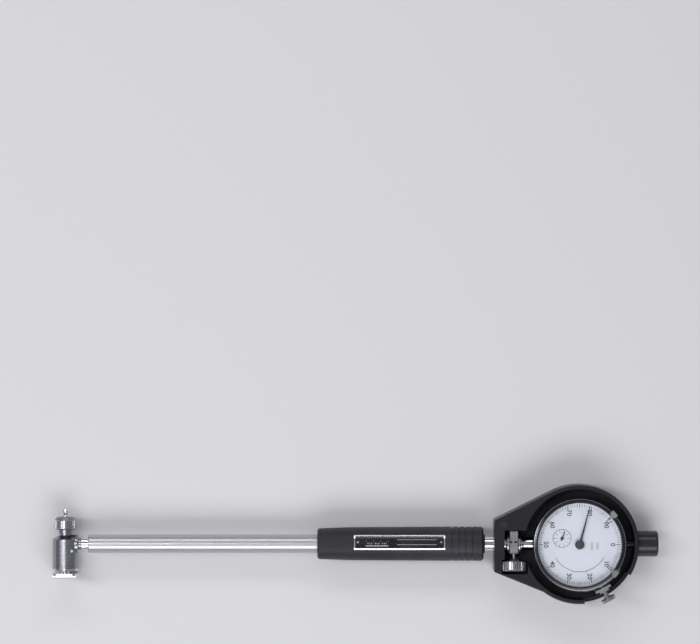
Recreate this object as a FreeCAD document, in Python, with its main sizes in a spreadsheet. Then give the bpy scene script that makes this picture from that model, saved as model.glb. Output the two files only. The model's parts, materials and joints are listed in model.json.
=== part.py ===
import FreeCAD, Part
import math
import os
import re

import Sketcher  # noqa: F401  (registers the sketch object type)

# A two-point bore gauge: a measuring head on a long tube, an insulated grip, and a dial
# indicator clamped in a split collar inside a moulded protective cover.
#
# Frame: the gauge lies on its back on the plane Z = 0 with the dial facing +Z. The dial's
# axis is the Z axis. The tube runs along X at the height axis_height, with the measuring
# head at -X. The head measures along Y, with the fixed anvil at +Y and the moving contact
# at -Y. All sizes are millimetres.

SIZES = [
    # the whole gauge
    ("axis_height", 12.5, "tube axis above the plane the gauge lies on"),
    ("tube_roll", -8, "turn of grip, label and collar about the tube, degrees"),
    ("running_gap", 0.04, "radial clearance of fits that slide or turn"),
    ("seat_gap", 0.02, "radial clearance of pressed and screwed fits"),
    ("face_gap", 0.05, "clearance between end faces that meet"),
    ("head_reach", 311.8, "dial axis to measuring head axis"),
    # measuring head, along Y from the tube axis
    ("head_radius", 7.85, "head body"),
    ("head_bottom", 15.0, "tube axis to the open end of the head body"),
    ("shoulder_bottom", 2.8, "wide end of the conical shoulder"),
    ("shoulder_top", 5.2, "narrow end of the conical shoulder"),
    ("waist_radius", 3.65, "waist above the shoulder"),
    ("waist_top", 6.4, "upper end of the waist"),
    ("seat_ring_radius", 4.25, "bright ring under the clamp nut"),
    ("seat_ring_top", 8.4, "top of that ring"),
    ("thread_radius", 4.0, "thread for the clamp nut"),
    ("thread_top", 13.0, "top of the thread, seat of the anvil"),
    ("neck_boss_radius", 5.5, "boss towards the tube"),
    ("neck_boss_reach", 8.0, "its length from the head axis"),
    ("spigot_radius", 3.6, "spigot that carries the tube"),
    ("spigot_reach", 26, "its length from the head axis"),
    ("cavity_radius", 5.65, "cavity behind the end bush"),
    ("cavity_top", 8.0, "tube axis to the roof of the cavity"),
    ("flange_radius", 8.15, "flange of the end bush"),
    ("flange_thickness", 1.2, "its thickness"),
    ("bush_depth", 3.0, "length of the end bush inside the head"),
    # contact spindle, bell crank and anvil
    ("spindle_radius", 2.3, "moving contact spindle"),
    ("spindle_tip_radius", 1.0, "narrow end that pushes the bell crank"),
    ("spindle_tip", 1.7, "length of that narrow end"),
    ("collar_radius", 3.0, "its retaining collar"),
    ("collar_thickness", 1.2, "its retaining collar"),
    ("contact_reach", 19.7, "tube axis to the tip of the contact ball"),
    ("ball_radius", 1.3, "contact ball"),
    ("stroke", 1.2, "measuring travel"),
    ("crank_arm", 4.2, "length of both arms of the bell crank"),
    ("crank_nose_radius", 1.2, "rounded noses of the bell crank"),
    ("crank_eye_radius", 1.9, "eye of the bell crank"),
    ("crank_thickness", 2.2, "thickness of the bell crank"),
    ("crank_web", 1.5, "width of its arms"),
    ("pin_radius", 0.8, "pivot pin of the bell crank"),
    ("anvil_shank_radius", 1.6, "shank of the anvil in the head"),
    ("anvil_shank", 3.6, "its length"),
    ("anvil_flange_radius", 3.7, "flange clamped by the nut"),
    ("anvil_flange", 1.25, "its thickness"),
    ("anvil_neck_radius", 1.25, "neck of the anvil"),
    ("anvil_tip_radius", 1.8, "head of the anvil"),
    ("anvil_reach", 22.4, "tube axis to the tip of the anvil"),
    ("nut_radius", 6.7, "knurled clamp nut"),
    ("nut_bottom", 8.6, "tube axis to its lower face"),
    ("nut_top", 16.3, "tube axis to its upper face"),
    ("knurl_depth", 0.35, "depth of the knurls"),
    # centring guide
    ("guide_width", 15.0, "centring guide along X"),
    ("guide_span", 25.0, "centring guide along Z"),
    ("guide_thickness", 1.3, "its plate"),
    ("guide_top", 17.6, "tube axis to the near face of its plate"),
    ("guide_rail_radius", 1.8, "rounded contact rails at its ends"),
    ("guide_rail_offset", 10.2, "tube axis to the rails along Z"),
    ("guide_boss_radius", 3.6, "boss round the contact ball"),
    ("guide_pin_radius", 0.9, "guide pins"),
    ("guide_pin_offset", 4.3, "head axis to the pins along Z"),
    ("guide_pin_head", 1.2, "head radius of the guide pins"),
    ("guide_pin_reach", 9.6, "tube axis to the inner end of the pins"),
    # tube
    ("ring_start", 9.5, "head axis to the lock ring"),
    ("ring_end", 14.05, "head axis to its far face"),
    ("ring_radius", 4.25, "lock ring"),
    ("tube_start", 14.1, "head axis to the tube"),
    ("tube_end", 62.0, "dial axis to the inner end of the tube"),
    ("tube_radius", 5.5, "tube"),
    ("rod_radius", 1.5, "push rod"),
    ("rod_bore_radius", 2.1, "bore round the push rod"),
    ("guide_bush_length", 6.0, "bushes that carry the push rod"),
    # grip
    ("grip_start", 158.7, "dial axis to the head end of the grip"),
    ("grip_end", 57.9, "dial axis to the other end"),
    ("grip_radius_front", 9.35, "grip at its head end"),
    ("grip_radius_back", 10.35, "grip at its ringed end"),
    ("grip_end_round", 1.2, "rounded ends of the grip"),
    ("grip_lip_radius", 5.75, "low lip at the ringed end"),
    ("grip_lip", 0.9, "length of that lip"),
    ("ring_groove_start", 76.9, "dial axis to the first ring groove"),
    ("ring_groove_pitch", 4.05, "spacing of the ring grooves"),
    ("ring_groove_width", 0.7, "width of a ring groove"),
    ("ring_groove_depth", 0.6, "depth of a ring groove"),
    ("label_start", 136.5, "dial axis to the far end of the label plate"),
    ("label_length", 55.2, "label plate"),
    ("label_width", 9.0, "label plate"),
    ("label_thickness", 0.4, "label plate"),
    ("label_radius", 9.95, "radius of its outer face"),
    ("label_pin_radius", 0.65, "drive pins of the label plate"),
    ("label_pin_inset", 2.4, "drive pins from the plate's ends"),
    # stem holder and split collar, along X from the dial axis
    ("shaft_radius", 4.25, "bright shaft between grip and cover"),
    ("shaft_bore_radius", 2.7, "its bore"),
    ("shaft_depth", 80.0, "dial axis to its end inside the tube"),
    ("sleeve_radius", 5.2, "slit sleeve round the indicator stem"),
    ("sleeve_start", 45.0, "dial axis to the sleeve's shoulder"),
    ("sleeve_end", 33.6, "dial axis to the open end of the sleeve"),
    ("slit_width", 1.2, "slit in sleeve and collar"),
    ("collar_start", 44.3, "dial axis to the collar"),
    ("collar_width", 9.3, "collar along the tube"),
    ("collar_ring_radius", 7.3, "collar"),
    ("ear_width", 5.6, "ears of the collar along the tube"),
    ("ear_half", 6.95, "tube axis to the outer face of an ear"),
    ("ear_height", 11.2, "tube axis to the top of the ears"),
    ("screw_height", 7.9, "tube axis to the thumb screw"),
    ("screw_radius", 1.5, "thumb screw shank"),
    ("screw_neck_radius", 1.1, "its neck"),
    ("screw_head_radius", 7.0, "its knurled head"),
    ("screw_head_start", 11.7, "tube axis to the cone under the head"),
    ("screw_head_end", 17.7, "tube axis to the end of the head"),
    # dial indicator
    ("case_radius", 26.8, "case of the indicator"),
    ("case_wall", 1.6, "its wall"),
    ("case_bottom", 7.6, "stem axis to the back of the indicator"),
    ("case_top", 10.2, "stem axis to the rim of the case"),
    ("back_thickness", 1.5, "back plate of the case"),
    ("stem_radius", 4.0, "stem of the indicator"),
    ("stem_end", 44.9, "dial axis to the end of the stem"),
    ("plunger_radius", 2.4, "plunger"),
    ("plunger_end", 50.0, "dial axis to the plunger's shoulder for its tip"),
    ("plunger_back", 34.0, "dial axis to the far end of the plunger"),
    ("tip_end", 58.0, "dial axis to the end of the plunger's tip"),
    ("arbor_x", 10.6, "dial axis to the counter's arbor, towards the stem"),
    ("arbor_y", 3.8, "dial axis to the counter's arbor, sideways"),
    ("rack_module", 0.198944, "module of rack and pinion, ten millimetres a turn"),
    ("rack_teeth_on_pinion", 16, "teeth of the rack pinion"),
    ("wheel_teeth", 100, "teeth of the large wheel"),
    ("centre_teeth", 10, "teeth of the centre pinion"),
    ("arbor_radius", 0.6, "arbors of the movement"),
    ("plate_thickness", 1.0, "plates of the movement"),
    ("plate_radius", 21.0, "upper plate of the movement"),
    ("lower_plate", 2.65, "stem axis to the lower plate"),
    ("upper_plate", 7.2, "stem axis to the upper plate"),
    ("wheel_height", 4.6, "stem axis to the large wheel"),
    ("wheel_thickness", 0.6, "large wheel"),
    ("pillar_radius", 1.6, "pillars between the plates"),
    ("pillar_circle", 18.5, "dial axis to the pillars"),
    # dial, bezel and hands, heights from the stem axis
    ("bezel_radius", 28.5, "bezel"),
    ("bezel_bottom", 8.3, "stem axis to the lower edge of the bezel"),
    ("bezel_top", 16.1, "stem axis to the crown of the bezel"),
    ("glass_radius", 25.85, "crystal"),
    ("glass_bottom", 13.75, "stem axis to the underside of the crystal"),
    ("glass_thickness", 1.1, "crystal"),
    ("window_radius", 25.2, "clear opening of the bezel"),
    ("dial_radius", 25.1, "turning scale ring"),
    ("dial_height", 10.85, "stem axis to the underside of the dial"),
    ("dial_thickness", 0.4, "dial"),
    ("dial_split", 17.2, "edge between scale ring and fixed dial centre"),
    ("hand_length", 24.0, "main hand"),
    ("hand_height", 12.7, "stem axis to the main hand"),
    ("hand_thickness", 0.25, "both hands"),
    ("hub_radius", 2.8, "hub of the main hand"),
    ("hub_height", 1.0, "hub of the main hand"),
    ("counter_hand_length", 4.5, "small hand"),
    ("counter_hand_height", 11.75, "stem axis to the small hand"),
    ("main_angle", 75, "main hand at rest, degrees from +X"),
    ("counter_angle", 67, "small hand at rest, degrees from +X"),
    # limit markers and bezel clamp
    ("marker_angle_high", 42, "upper limit marker, degrees from +X"),
    ("marker_angle_low", -39, "lower limit marker, degrees from +X"),
    ("marker_tab", 4.2, "width of a marker's tab"),
    ("marker_sheet", 0.4, "sheet of a marker"),
    ("marker_leg", 3.0, "how far a marker reaches down the bezel's side"),
    ("marker_tip", 18.0, "dial axis to the point of a marker"),
    ("marker_inner", 26.2, "dial axis to the inner edge of the tab"),
    ("lock_angle", -62, "bezel clamp, degrees from +X"),
    ("lock_width", 10.0, "bracket of the bezel clamp"),
    ("lock_sheet", 1.4, "its sheet"),
    ("lock_face", 29.6, "dial axis to the inner face of its upright"),
    ("lock_knob_radius", 4.65, "knob of the bezel clamp"),
    ("lock_knob_start", 36.2, "dial axis to the knob"),
    ("lock_knob", 2.4, "thickness of the knob"),
    ("lock_screw_radius", 1.2, "screw of the bezel clamp"),
    # protective cover
    ("cover_radius", 36.0, "ring wall of the cover, outside"),
    ("cover_wall", 2.4, "its wall"),
    ("cover_height", 24.6, "cover above the plane it lies on"),
    ("cover_back", 2.0, "back wall"),
    ("cover_front", 2.2, "front plates beside the neck"),
    ("cover_end", 51.5, "dial axis to the end of the cover"),
    ("neck_high", 14.6, "tube axis to the cover's end corner, anvil side"),
    ("neck_low", 16.6, "tube axis to the cover's end corner, contact side"),
    ("join_high", 117, "where the neck's side meets the ring, degrees"),
    ("join_low", -127, "where the other side meets the ring, degrees"),
    ("block_front", 41.9, "dial axis to the seam of the end block"),
    ("block_wall", 45.4, "dial axis to the inner face of its cross wall"),
    ("window_high", 8.6, "upper edge of the opening over the collar"),
    ("window_low", 17.9, "lower edge of the opening over the thumb screw"),
    ("window_front", 31.3, "dial axis to the end of that opening"),
    ("cover_screw_x", 46.6, "dial axis to the cover screws"),
    ("cover_screw_y", 11.7, "cover screws sideways"),
    ("cover_screw_head", 2.4, "head radius of the cover screws"),
    ("cover_screw_radius", 1.3, "shank of the cover screws"),
    ("notch_start", -31, "notch for the bezel clamp, degrees"),
    ("notch_end", -85, "notch for the bezel clamp, degrees"),
    ("notch_floor", 7.0, "lowest edge of the notch above the back"),
    ("cap_radius", 7.8, "end cap"),
    ("cap_end", 48.2, "dial axis to the end of the cap"),
    ("cap_spigot_radius", 5.6, "its spigot in the cover"),
    ("cap_bore_radius", 3.0, "room for the plunger"),
]
SIZE_NAMES = {name for name, _, _ in SIZES}

KNURLS_ON_NUT = 32
KNURLS_ON_SCREW = 34
RACK_TEETH = 22
GROOVES_ON_GRIP = 4

doc = FreeCAD.newDocument("bore_gauge")
sheet = doc.addObject("Spreadsheet::Sheet", "Sizes")
for row, (name, number, meaning) in enumerate(SIZES, start=1):
    sheet.set(f"A{row}", name)
    sheet.set(f"B{row}", str(number))
    sheet.setAlias(f"B{row}", name)
    sheet.set(f"C{row}", meaning)
doc.recompute()


# ---------------------------------------------------------------- rules and placing


def sized(rule):
    """A rule such as "tube_radius + seat_gap" as an expression on the sheet's cells."""
    return re.sub(
        r"[a-z]+(?:_[a-z]+)*",
        lambda word: "Sizes." + word.group() if word.group() in SIZE_NAMES else word.group(),
        rule,
    )


def value(rule):
    """What a rule comes to now, as a plain number."""
    return float(sheet.evalExpression(sized(rule)))


def bind(thing, **rules):
    """Tie properties of an object to rules, such as Radius="tube_radius"."""
    for name, rule in rules.items():
        thing.setExpression(name, sized(rule))
    return thing


def place(thing, across="0", along="0", up="0", turn=None):
    """Put an object at bound coordinates, turned by (axis, rule for the angle)."""
    thing.setExpression(".Placement.Base.x", sized(across))
    thing.setExpression(".Placement.Base.y", sized(along))
    thing.setExpression(".Placement.Base.z", sized(up))
    if turn:
        axis, rule = turn
        thing.Placement = FreeCAD.Placement(thing.Placement.Base, FreeCAD.Rotation(axis, 1))
        thing.setExpression(".Placement.Rotation.Angle", sized(rule))
    return thing


X_AXIS = FreeCAD.Vector(1, 0, 0)
Y_AXIS = FreeCAD.Vector(0, 1, 0)
Z_AXIS = FreeCAD.Vector(0, 0, 1)

AT_HEAD = {"across": "-head_reach", "up": "axis_height"}
ON_TUBE = {"up": "axis_height"}
ON_ROLLED_TUBE = {"up": "axis_height", "turn": (X_AXIS, "tube_roll")}


# ---------------------------------------------------------------- PartDesign helpers


def new_body(label, **where):
    body = doc.addObject("PartDesign::Body", label)
    body.Label = label
    return place(body, **where)


def origin_feature(body, role):
    return next(f for f in body.Origin.OriginFeatures if f.Role == role)


def new_sketch(body, plane, lift):
    sketch = body.newObject("Sketcher::SketchObject", body.Name + "_sketch")
    sketch.AttachmentSupport = (origin_feature(body, plane), "")
    sketch.MapMode = "FlatFace"
    # the normal of the XZ plane points to -Y, so a lift along +Y is negative there
    rule = f"-({lift})" if plane == "XZ_Plane" else lift
    sketch.setExpression(".AttachmentOffset.Base.z", sized(rule))
    return sketch


def hold(sketch, geometry, end, across, along):
    """Fix one point of a sketch at bound distances from the sketch's origin."""
    for kind, rule, axis in (("DistanceX", across, -2), ("DistanceY", along, -1)):
        if rule == "0":
            sketch.addConstraint(Sketcher.Constraint("PointOnObject", geometry, end, axis))
            continue
        held = Sketcher.Constraint(kind, -1, 1, geometry, end, value(rule))
        index = sketch.addConstraint(held)
        sketch.setExpression(f"Constraints[{index}]", sized(rule))


def arc_between(start, end, radius, centre_on_left):
    """The smaller arc from start to end; True when its own start is the given start."""
    half = (end - start) * 0.5
    rise = math.sqrt(max(radius**2 - half.Length**2, 0))
    normal = FreeCAD.Vector(-half.y, half.x, 0).normalize()
    centre = start + half + normal * (rise if centre_on_left else -rise)
    angles = [math.atan2(p.y - centre.y, p.x - centre.x) for p in (start, end)]
    if not centre_on_left:
        angles.reverse()
    circle = Part.Circle(centre, Z_AXIS, radius)
    return Part.ArcOfCircle(circle, *angles), centre_on_left


def outline(body, plane, corners, lift="0"):
    """A closed outline. Each corner is (across, up), or (across, up, radius, side) when an
    arc of that radius, with its centre on that side of the way, arrives at it."""
    sketch = new_sketch(body, plane, lift)
    points = [FreeCAD.Vector(value(c[0]), value(c[1]), 0) for c in corners]
    ends = []
    for number, start in enumerate(points):
        arrival = (number + 1) % len(points)
        forward = True
        if len(corners[arrival]) == 2:
            edge = Part.LineSegment(start, points[arrival])
        else:
            radius, side = corners[arrival][2:]
            edge, forward = arc_between(start, points[arrival], value(radius), side == "left")
        geometry = sketch.addGeometry(edge, False)
        ends.append((geometry, 1, 2) if forward else (geometry, 2, 1))
    for number, (geometry, first, last) in enumerate(ends):
        follower, follower_first, _ = ends[(number + 1) % len(ends)]
        sketch.addConstraint(
            Sketcher.Constraint("Coincident", geometry, last, follower, follower_first)
        )
        hold(sketch, geometry, first, *corners[number][:2])
        arrival = corners[(number + 1) % len(corners)]
        if len(arrival) > 2:
            index = sketch.addConstraint(
                Sketcher.Constraint("Radius", geometry, value(arrival[2]))
            )
            sketch.setExpression(f"Constraints[{index}]", sized(arrival[2]))
    return sketch


def circles(body, plane, radius, centres=(("0", "0"),), lift="0"):
    """A sketch of equal circles at bound centres."""
    sketch = new_sketch(body, plane, lift)
    for across, along in centres:
        middle = FreeCAD.Vector(value(across), value(along), 0)
        geometry = sketch.addGeometry(Part.Circle(middle, Z_AXIS, value(radius)), False)
        hold(sketch, geometry, 3, across, along)
        index = sketch.addConstraint(Sketcher.Constraint("Radius", geometry, value(radius)))
        sketch.setExpression(f"Constraints[{index}]", sized(radius))
    return sketch


def rectangle(body, plane, left, right, low, high, lift="0"):
    return outline(
        body, plane, [(left, low), (right, low), (right, high), (left, high)], lift
    )


def spin(body, sketch, axis, kind="PartDesign::Revolution"):
    """Turn an outline about the sketch's own upright ("V_Axis") or level ("H_Axis") axis."""
    feature = body.newObject(kind, body.Name + "_turned")
    feature.Profile = sketch
    feature.ReferenceAxis = (sketch, [axis])
    feature.Angle = 360
    return feature


def extrude(body, sketch, length, symmetric=False, backwards=False, kind="PartDesign::Pad"):
    feature = body.newObject(kind, body.Name + "_extruded")
    feature.Profile = sketch
    feature.SideType = "Symmetric" if symmetric else "One side"
    feature.Reversed = backwards
    feature.setExpression("Length", sized(length))
    return feature


def cut(body, sketch, length, symmetric=False, backwards=False):
    """A pocket that is checked to have taken material away."""
    doc.recompute()
    before = body.Shape.Volume
    feature = extrude(body, sketch, length, symmetric, backwards, "PartDesign::Pocket")
    doc.recompute()
    if not body.Shape.Volume < before - 1e-6:
        raise ValueError(f"a pocket in {body.Label} cuts nothing")
    return feature


def groove(body, sketch, axis):
    """A turned cut that is checked to have taken material away."""
    doc.recompute()
    before = body.Shape.Volume
    feature = spin(body, sketch, axis, "PartDesign::Groove")
    doc.recompute()
    if not body.Shape.Volume < before - 1e-6:
        raise ValueError(f"a groove in {body.Label} cuts nothing")
    return feature


def repeat_round(body, feature, axis_role, count):
    """Repeat a feature evenly round one of the body's own axes."""
    pattern = body.newObject("PartDesign::PolarPattern", body.Name + "_round")
    pattern.Originals = [feature]
    pattern.Axis = (origin_feature(body, axis_role), [""])
    pattern.Angle = 360
    pattern.Occurrences = count
    body.Tip = pattern
    return pattern


def repeat_along(body, feature, axis_role, pitch, count, backwards=False):
    """Repeat a feature at a bound pitch along one of the body's own axes."""
    pattern = body.newObject("PartDesign::LinearPattern", body.Name + "_row")
    pattern.Originals = [feature]
    pattern.Direction = (origin_feature(body, axis_role), [""])
    pattern.Reversed = backwards
    pattern.setExpression("Length", sized(f"({pitch}) * {count - 1}"))
    pattern.Occurrences = count
    body.Tip = pattern
    return pattern


def soften(body, size, chooses, kind="PartDesign::Fillet"):
    """Round or chamfer the edges of the tip that a test of the edge chooses."""
    doc.recompute()
    tip = body.Tip
    names = [f"Edge{i}" for i, edge in enumerate(tip.Shape.Edges, start=1) if chooses(edge)]
    if not names:
        raise ValueError(f"no edge to soften on {body.Label}")
    feature = body.newObject(kind, body.Name + "_softened")
    feature.Base = (tip, names)
    feature.setExpression("Radius" if kind.endswith("Fillet") else "Size", sized(size))
    return feature


def ring_edge(axis, position, radius):
    """A test for the whole circle of that radius at that place along an axis."""

    def chooses(edge):
        if not isinstance(edge.Curve, Part.Circle):
            return False
        place_on_axis = getattr(edge.Curve.Center, axis)
        return (
            abs(place_on_axis - value(position)) < 1e-3
            and abs(edge.Curve.Radius - value(radius)) < 1e-3
        )

    return chooses


def knurl(body, axis_role, plane, radius, low, high, depth, count):
    """Straight knurls: one V groove along the axis, repeated round it."""
    middle = f"(({low}) + ({high})) / 2"
    sketch = outline(
        body,
        plane,
        [
            (radius + " - " + depth, "0"),
            (radius + " + " + depth, "-1.3 * " + depth),
            (radius + " + " + depth, "1.3 * " + depth),
        ],
        lift=middle,
    )
    flute = cut(body, sketch, f"({high}) - ({low})", symmetric=True)
    return repeat_round(body, flute, axis_role, count)


# ---------------------------------------------------------------- Part helpers


def cylinder(name, radius, height, direction=Z_AXIS, across="0", along="0", up="0"):
    """A Part cylinder that starts at the bound point and runs along a direction."""
    rod = doc.addObject("Part::Cylinder", name)
    bind(rod, Radius=radius, Height=height)
    turned = FreeCAD.Rotation(Z_AXIS, direction)
    rod.Placement = FreeCAD.Placement(FreeCAD.Vector(), turned)
    return place(rod, across, along, up)


def box(name, length, width, height, across="0", along="0", up="0"):
    """A Part box centred on the bound point across X and Y and standing on it in Z."""
    block = doc.addObject("Part::Box", name)
    bind(block, Length=length, Width=width, Height=height)
    return place(block, f"({across}) - ({length}) / 2", f"({along}) - ({width}) / 2", up)


def joined(label, *pieces):
    whole = doc.addObject("Part::MultiFuse", label)
    whole.Label = label
    whole.Shapes = list(pieces)
    return whole


def trimmed(label, base, *tools):
    """The base with the tools cut away."""
    tool = tools[0] if len(tools) == 1 else joined(label + "_tools", *tools)
    result = doc.addObject("Part::Cut", label)
    result.Label = label
    result.Base = base
    result.Tool = tool
    return result


def grouped(label, *pieces):
    """Separate solids that share one node."""
    group = doc.addObject("Part::Compound", label)
    group.Label = label
    group.Links = list(pieces)
    return group


def polar(radius, angle):
    """Rules for the point at a radius and an angle in degrees about the dial axis."""
    return (
        f"({radius}) * cos(({angle}) * 1 deg)",
        f"({radius}) * sin(({angle}) * 1 deg)",
    )


KEPT = []


def keep(piece):
    """Mark a piece to be written out under its label."""
    KEPT.append(piece)
    return piece


# ---------------------------------------------------------------- measuring head


def make_head_body():
    """Turned about the measuring axis, with a boss and spigot that carry the tube."""
    body = new_body("head_body", **AT_HEAD)
    profile = [
        ("0", "thread_top"),
        ("thread_radius", "thread_top"),
        ("thread_radius", "seat_ring_top"),
        ("seat_ring_radius", "seat_ring_top"),
        ("seat_ring_radius", "waist_top"),
        ("waist_radius", "waist_top"),
        ("waist_radius", "shoulder_top"),
        ("head_radius", "shoulder_bottom"),
        ("head_radius", "-head_bottom"),
        ("0", "-head_bottom"),
    ]
    spin(body, outline(body, "XY_Plane", profile), "V_Axis")
    extrude(body, circles(body, "YZ_Plane", "neck_boss_radius"), "neck_boss_reach")
    soften(body, "0.8", ring_edge("x", "neck_boss_reach", "neck_boss_radius"))
    extrude(body, circles(body, "YZ_Plane", "spigot_radius"), "spigot_reach")
    bore = "spindle_radius + running_gap"
    cavity = [
        ("0", "-head_bottom"),
        ("cavity_radius", "-head_bottom"),
        ("cavity_radius", "-cavity_top"),
        (bore, "-cavity_top"),
        (bore, "-crank_arm"),
        ("0", "-crank_arm"),
    ]
    groove(body, outline(body, "XY_Plane", cavity), "V_Axis")
    shank = "anvil_shank_radius + seat_gap"
    seat = [
        ("0", "thread_top"),
        (shank, "thread_top"),
        (shank, "thread_top - anvil_shank - face_gap"),
        ("0", "thread_top - anvil_shank - face_gap"),
    ]
    groove(body, outline(body, "XY_Plane", seat), "V_Axis")
    slot = rectangle(
        body,
        "XY_Plane",
        "-crank_nose_radius - 0.5",
        "crank_arm + crank_eye_radius + 0.3",
        "-crank_arm - crank_eye_radius - 0.5",
        "crank_nose_radius + 0.5",
    )
    cut(body, slot, "crank_thickness + 0.4", symmetric=True)
    rod_way = circles(body, "YZ_Plane", "rod_bore_radius")
    cut(body, rod_way, "spigot_reach", backwards=True)
    pin_hole = circles(
        body, "XY_Plane", "pin_radius + seat_gap", [("crank_arm", "-crank_arm")]
    )
    cut(body, pin_hole, "head_radius * 2", symmetric=True)
    return keep(body)


def make_head_end_bush():
    """Flanged bush that closes the head and guides the spindle and the guide pins."""
    body = new_body("head_end_bush", **AT_HEAD)
    bore = "spindle_radius + running_gap"
    spigot = "cavity_radius - seat_gap"
    profile = [
        (bore, "-head_bottom + bush_depth"),
        (spigot, "-head_bottom + bush_depth"),
        (spigot, "-head_bottom"),
        ("flange_radius", "-head_bottom"),
        ("flange_radius", "-head_bottom - flange_thickness"),
        (bore, "-head_bottom - flange_thickness"),
    ]
    spin(body, outline(body, "XY_Plane", profile), "V_Axis")
    holes = circles(
        body,
        "XZ_Plane",
        "guide_pin_radius + running_gap",
        [("0", "guide_pin_offset"), ("0", "-guide_pin_offset")],
        lift="-head_bottom",
    )
    cut(body, holes, "2 * (bush_depth + flange_thickness)", symmetric=True)
    return keep(body)


def make_contact_spindle():
    """Moving contact: a plain spindle with a retaining collar and a cone for its ball."""
    body = new_body("contact_spindle", **AT_HEAD)
    collar_low = "-head_bottom + bush_depth + face_gap"
    top = "-crank_arm - crank_nose_radius - 2 * face_gap"
    ball_centre = "-contact_reach + ball_radius"
    cup = "(ball_radius + seat_gap)"
    profile = [
        ("0", top),
        ("spindle_tip_radius", top),
        ("spindle_tip_radius", top + " - spindle_tip"),
        ("spindle_radius", top + " - spindle_tip"),
        ("spindle_radius", collar_low + " + collar_thickness"),
        ("collar_radius", collar_low + " + collar_thickness"),
        ("collar_radius", collar_low),
        ("spindle_radius", collar_low),
        ("spindle_radius", "-guide_top"),
        (cup + " + 0.2", ball_centre),
        (cup, ball_centre),
        ("0", f"{ball_centre} + {cup}", cup, "left"),
    ]
    spin(body, outline(body, "XY_Plane", profile), "V_Axis")
    return keep(body)


def make_contact_ball():
    ball = doc.addObject("Part::Sphere", "contact_ball")
    ball.Label = "contact_ball"
    bind(ball, Radius="ball_radius")
    place(ball, "-head_reach", "-contact_reach + ball_radius", "axis_height")
    return keep(ball)


def make_anvil():
    """Exchangeable fixed contact: shank, flange, waisted neck and domed head."""
    body = new_body("anvil", **AT_HEAD)
    dome = "0.7 * anvil_tip_radius"
    profile = [
        ("0", "thread_top - anvil_shank"),
        ("anvil_shank_radius", "thread_top - anvil_shank"),
        ("anvil_shank_radius", "thread_top"),
        ("anvil_flange_radius", "thread_top"),
        ("anvil_flange_radius", "thread_top + anvil_flange"),
        ("anvil_neck_radius + 0.6", "thread_top + anvil_flange"),
        ("anvil_neck_radius + 0.6", "nut_top + 0.6"),
        ("anvil_neck_radius", "nut_top + 1.2"),
        ("anvil_tip_radius", "anvil_reach - 3.3"),
        ("anvil_tip_radius", "anvil_reach - 2.4"),
        (dome, "anvil_reach - " + dome),
        ("0", "anvil_reach", dome, "left"),
    ]
    spin(body, outline(body, "XY_Plane", profile), "V_Axis")
    return keep(body)


def make_clamp_nut():
    """Knurled nut that clamps the anvil's flange against the head."""
    body = new_body("clamp_nut", **AT_HEAD)
    bore = "thread_radius + seat_gap"
    lip = "thread_top + anvil_flange + face_gap"
    hole = "anvil_neck_radius + 0.6 + running_gap"
    profile = [
        (bore, "nut_bottom"),
        ("nut_radius - 0.9", "nut_bottom"),
        ("nut_radius", "nut_bottom + 0.8"),
        ("nut_radius - 0.1", "nut_top - 2.2"),
        ("nut_radius - 1.1", "nut_top - 0.6"),
        ("nut_radius - 2.1", "nut_top"),
        (hole, "nut_top"),
        (hole, lip),
        (bore, lip),
    ]
    spin(body, outline(body, "XY_Plane", profile), "V_Axis")
    knurl(
        body, "Y_Axis", "XZ_Plane", "nut_radius", "nut_bottom", "nut_top",
        "knurl_depth", KNURLS_ON_NUT,
    )
    return keep(body)


def make_bell_crank():
    """Right-angled lever with an eye and two rounded noses."""
    body = new_body("bell_crank", **AT_HEAD)
    pivot = ("crank_arm", "-crank_arm")
    noses = [("0", "-crank_arm"), ("crank_arm", "0")]
    thick = "crank_thickness"
    extrude(body, circles(body, "XY_Plane", "crank_eye_radius", [pivot]), thick, True)
    half = "crank_web / 2"
    level_arm = rectangle(
        body, "XY_Plane", "0", "crank_arm", "-crank_arm - " + half, "-crank_arm + " + half
    )
    extrude(body, level_arm, thick, True)
    upright_arm = rectangle(
        body, "XY_Plane", "crank_arm - " + half, "crank_arm + " + half, "-crank_arm", "0"
    )
    extrude(body, upright_arm, thick, True)
    for nose in noses:
        extrude(body, circles(body, "XY_Plane", "crank_nose_radius", [nose]), thick, True)
    bore = circles(body, "XY_Plane", "pin_radius + running_gap", [pivot])
    cut(body, bore, "crank_thickness * 2", symmetric=True)
    return keep(body)


def make_crank_pin():
    half = "sqrt(head_radius ^ 2 - crank_arm ^ 2) - 0.3"
    pin = cylinder(
        "crank_pin", "pin_radius", f"2 * ({half})",
        across="-head_reach + crank_arm", along="-crank_arm", up=f"axis_height - ({half})",
    )
    pin.Label = "crank_pin"
    return keep(pin)


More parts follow.
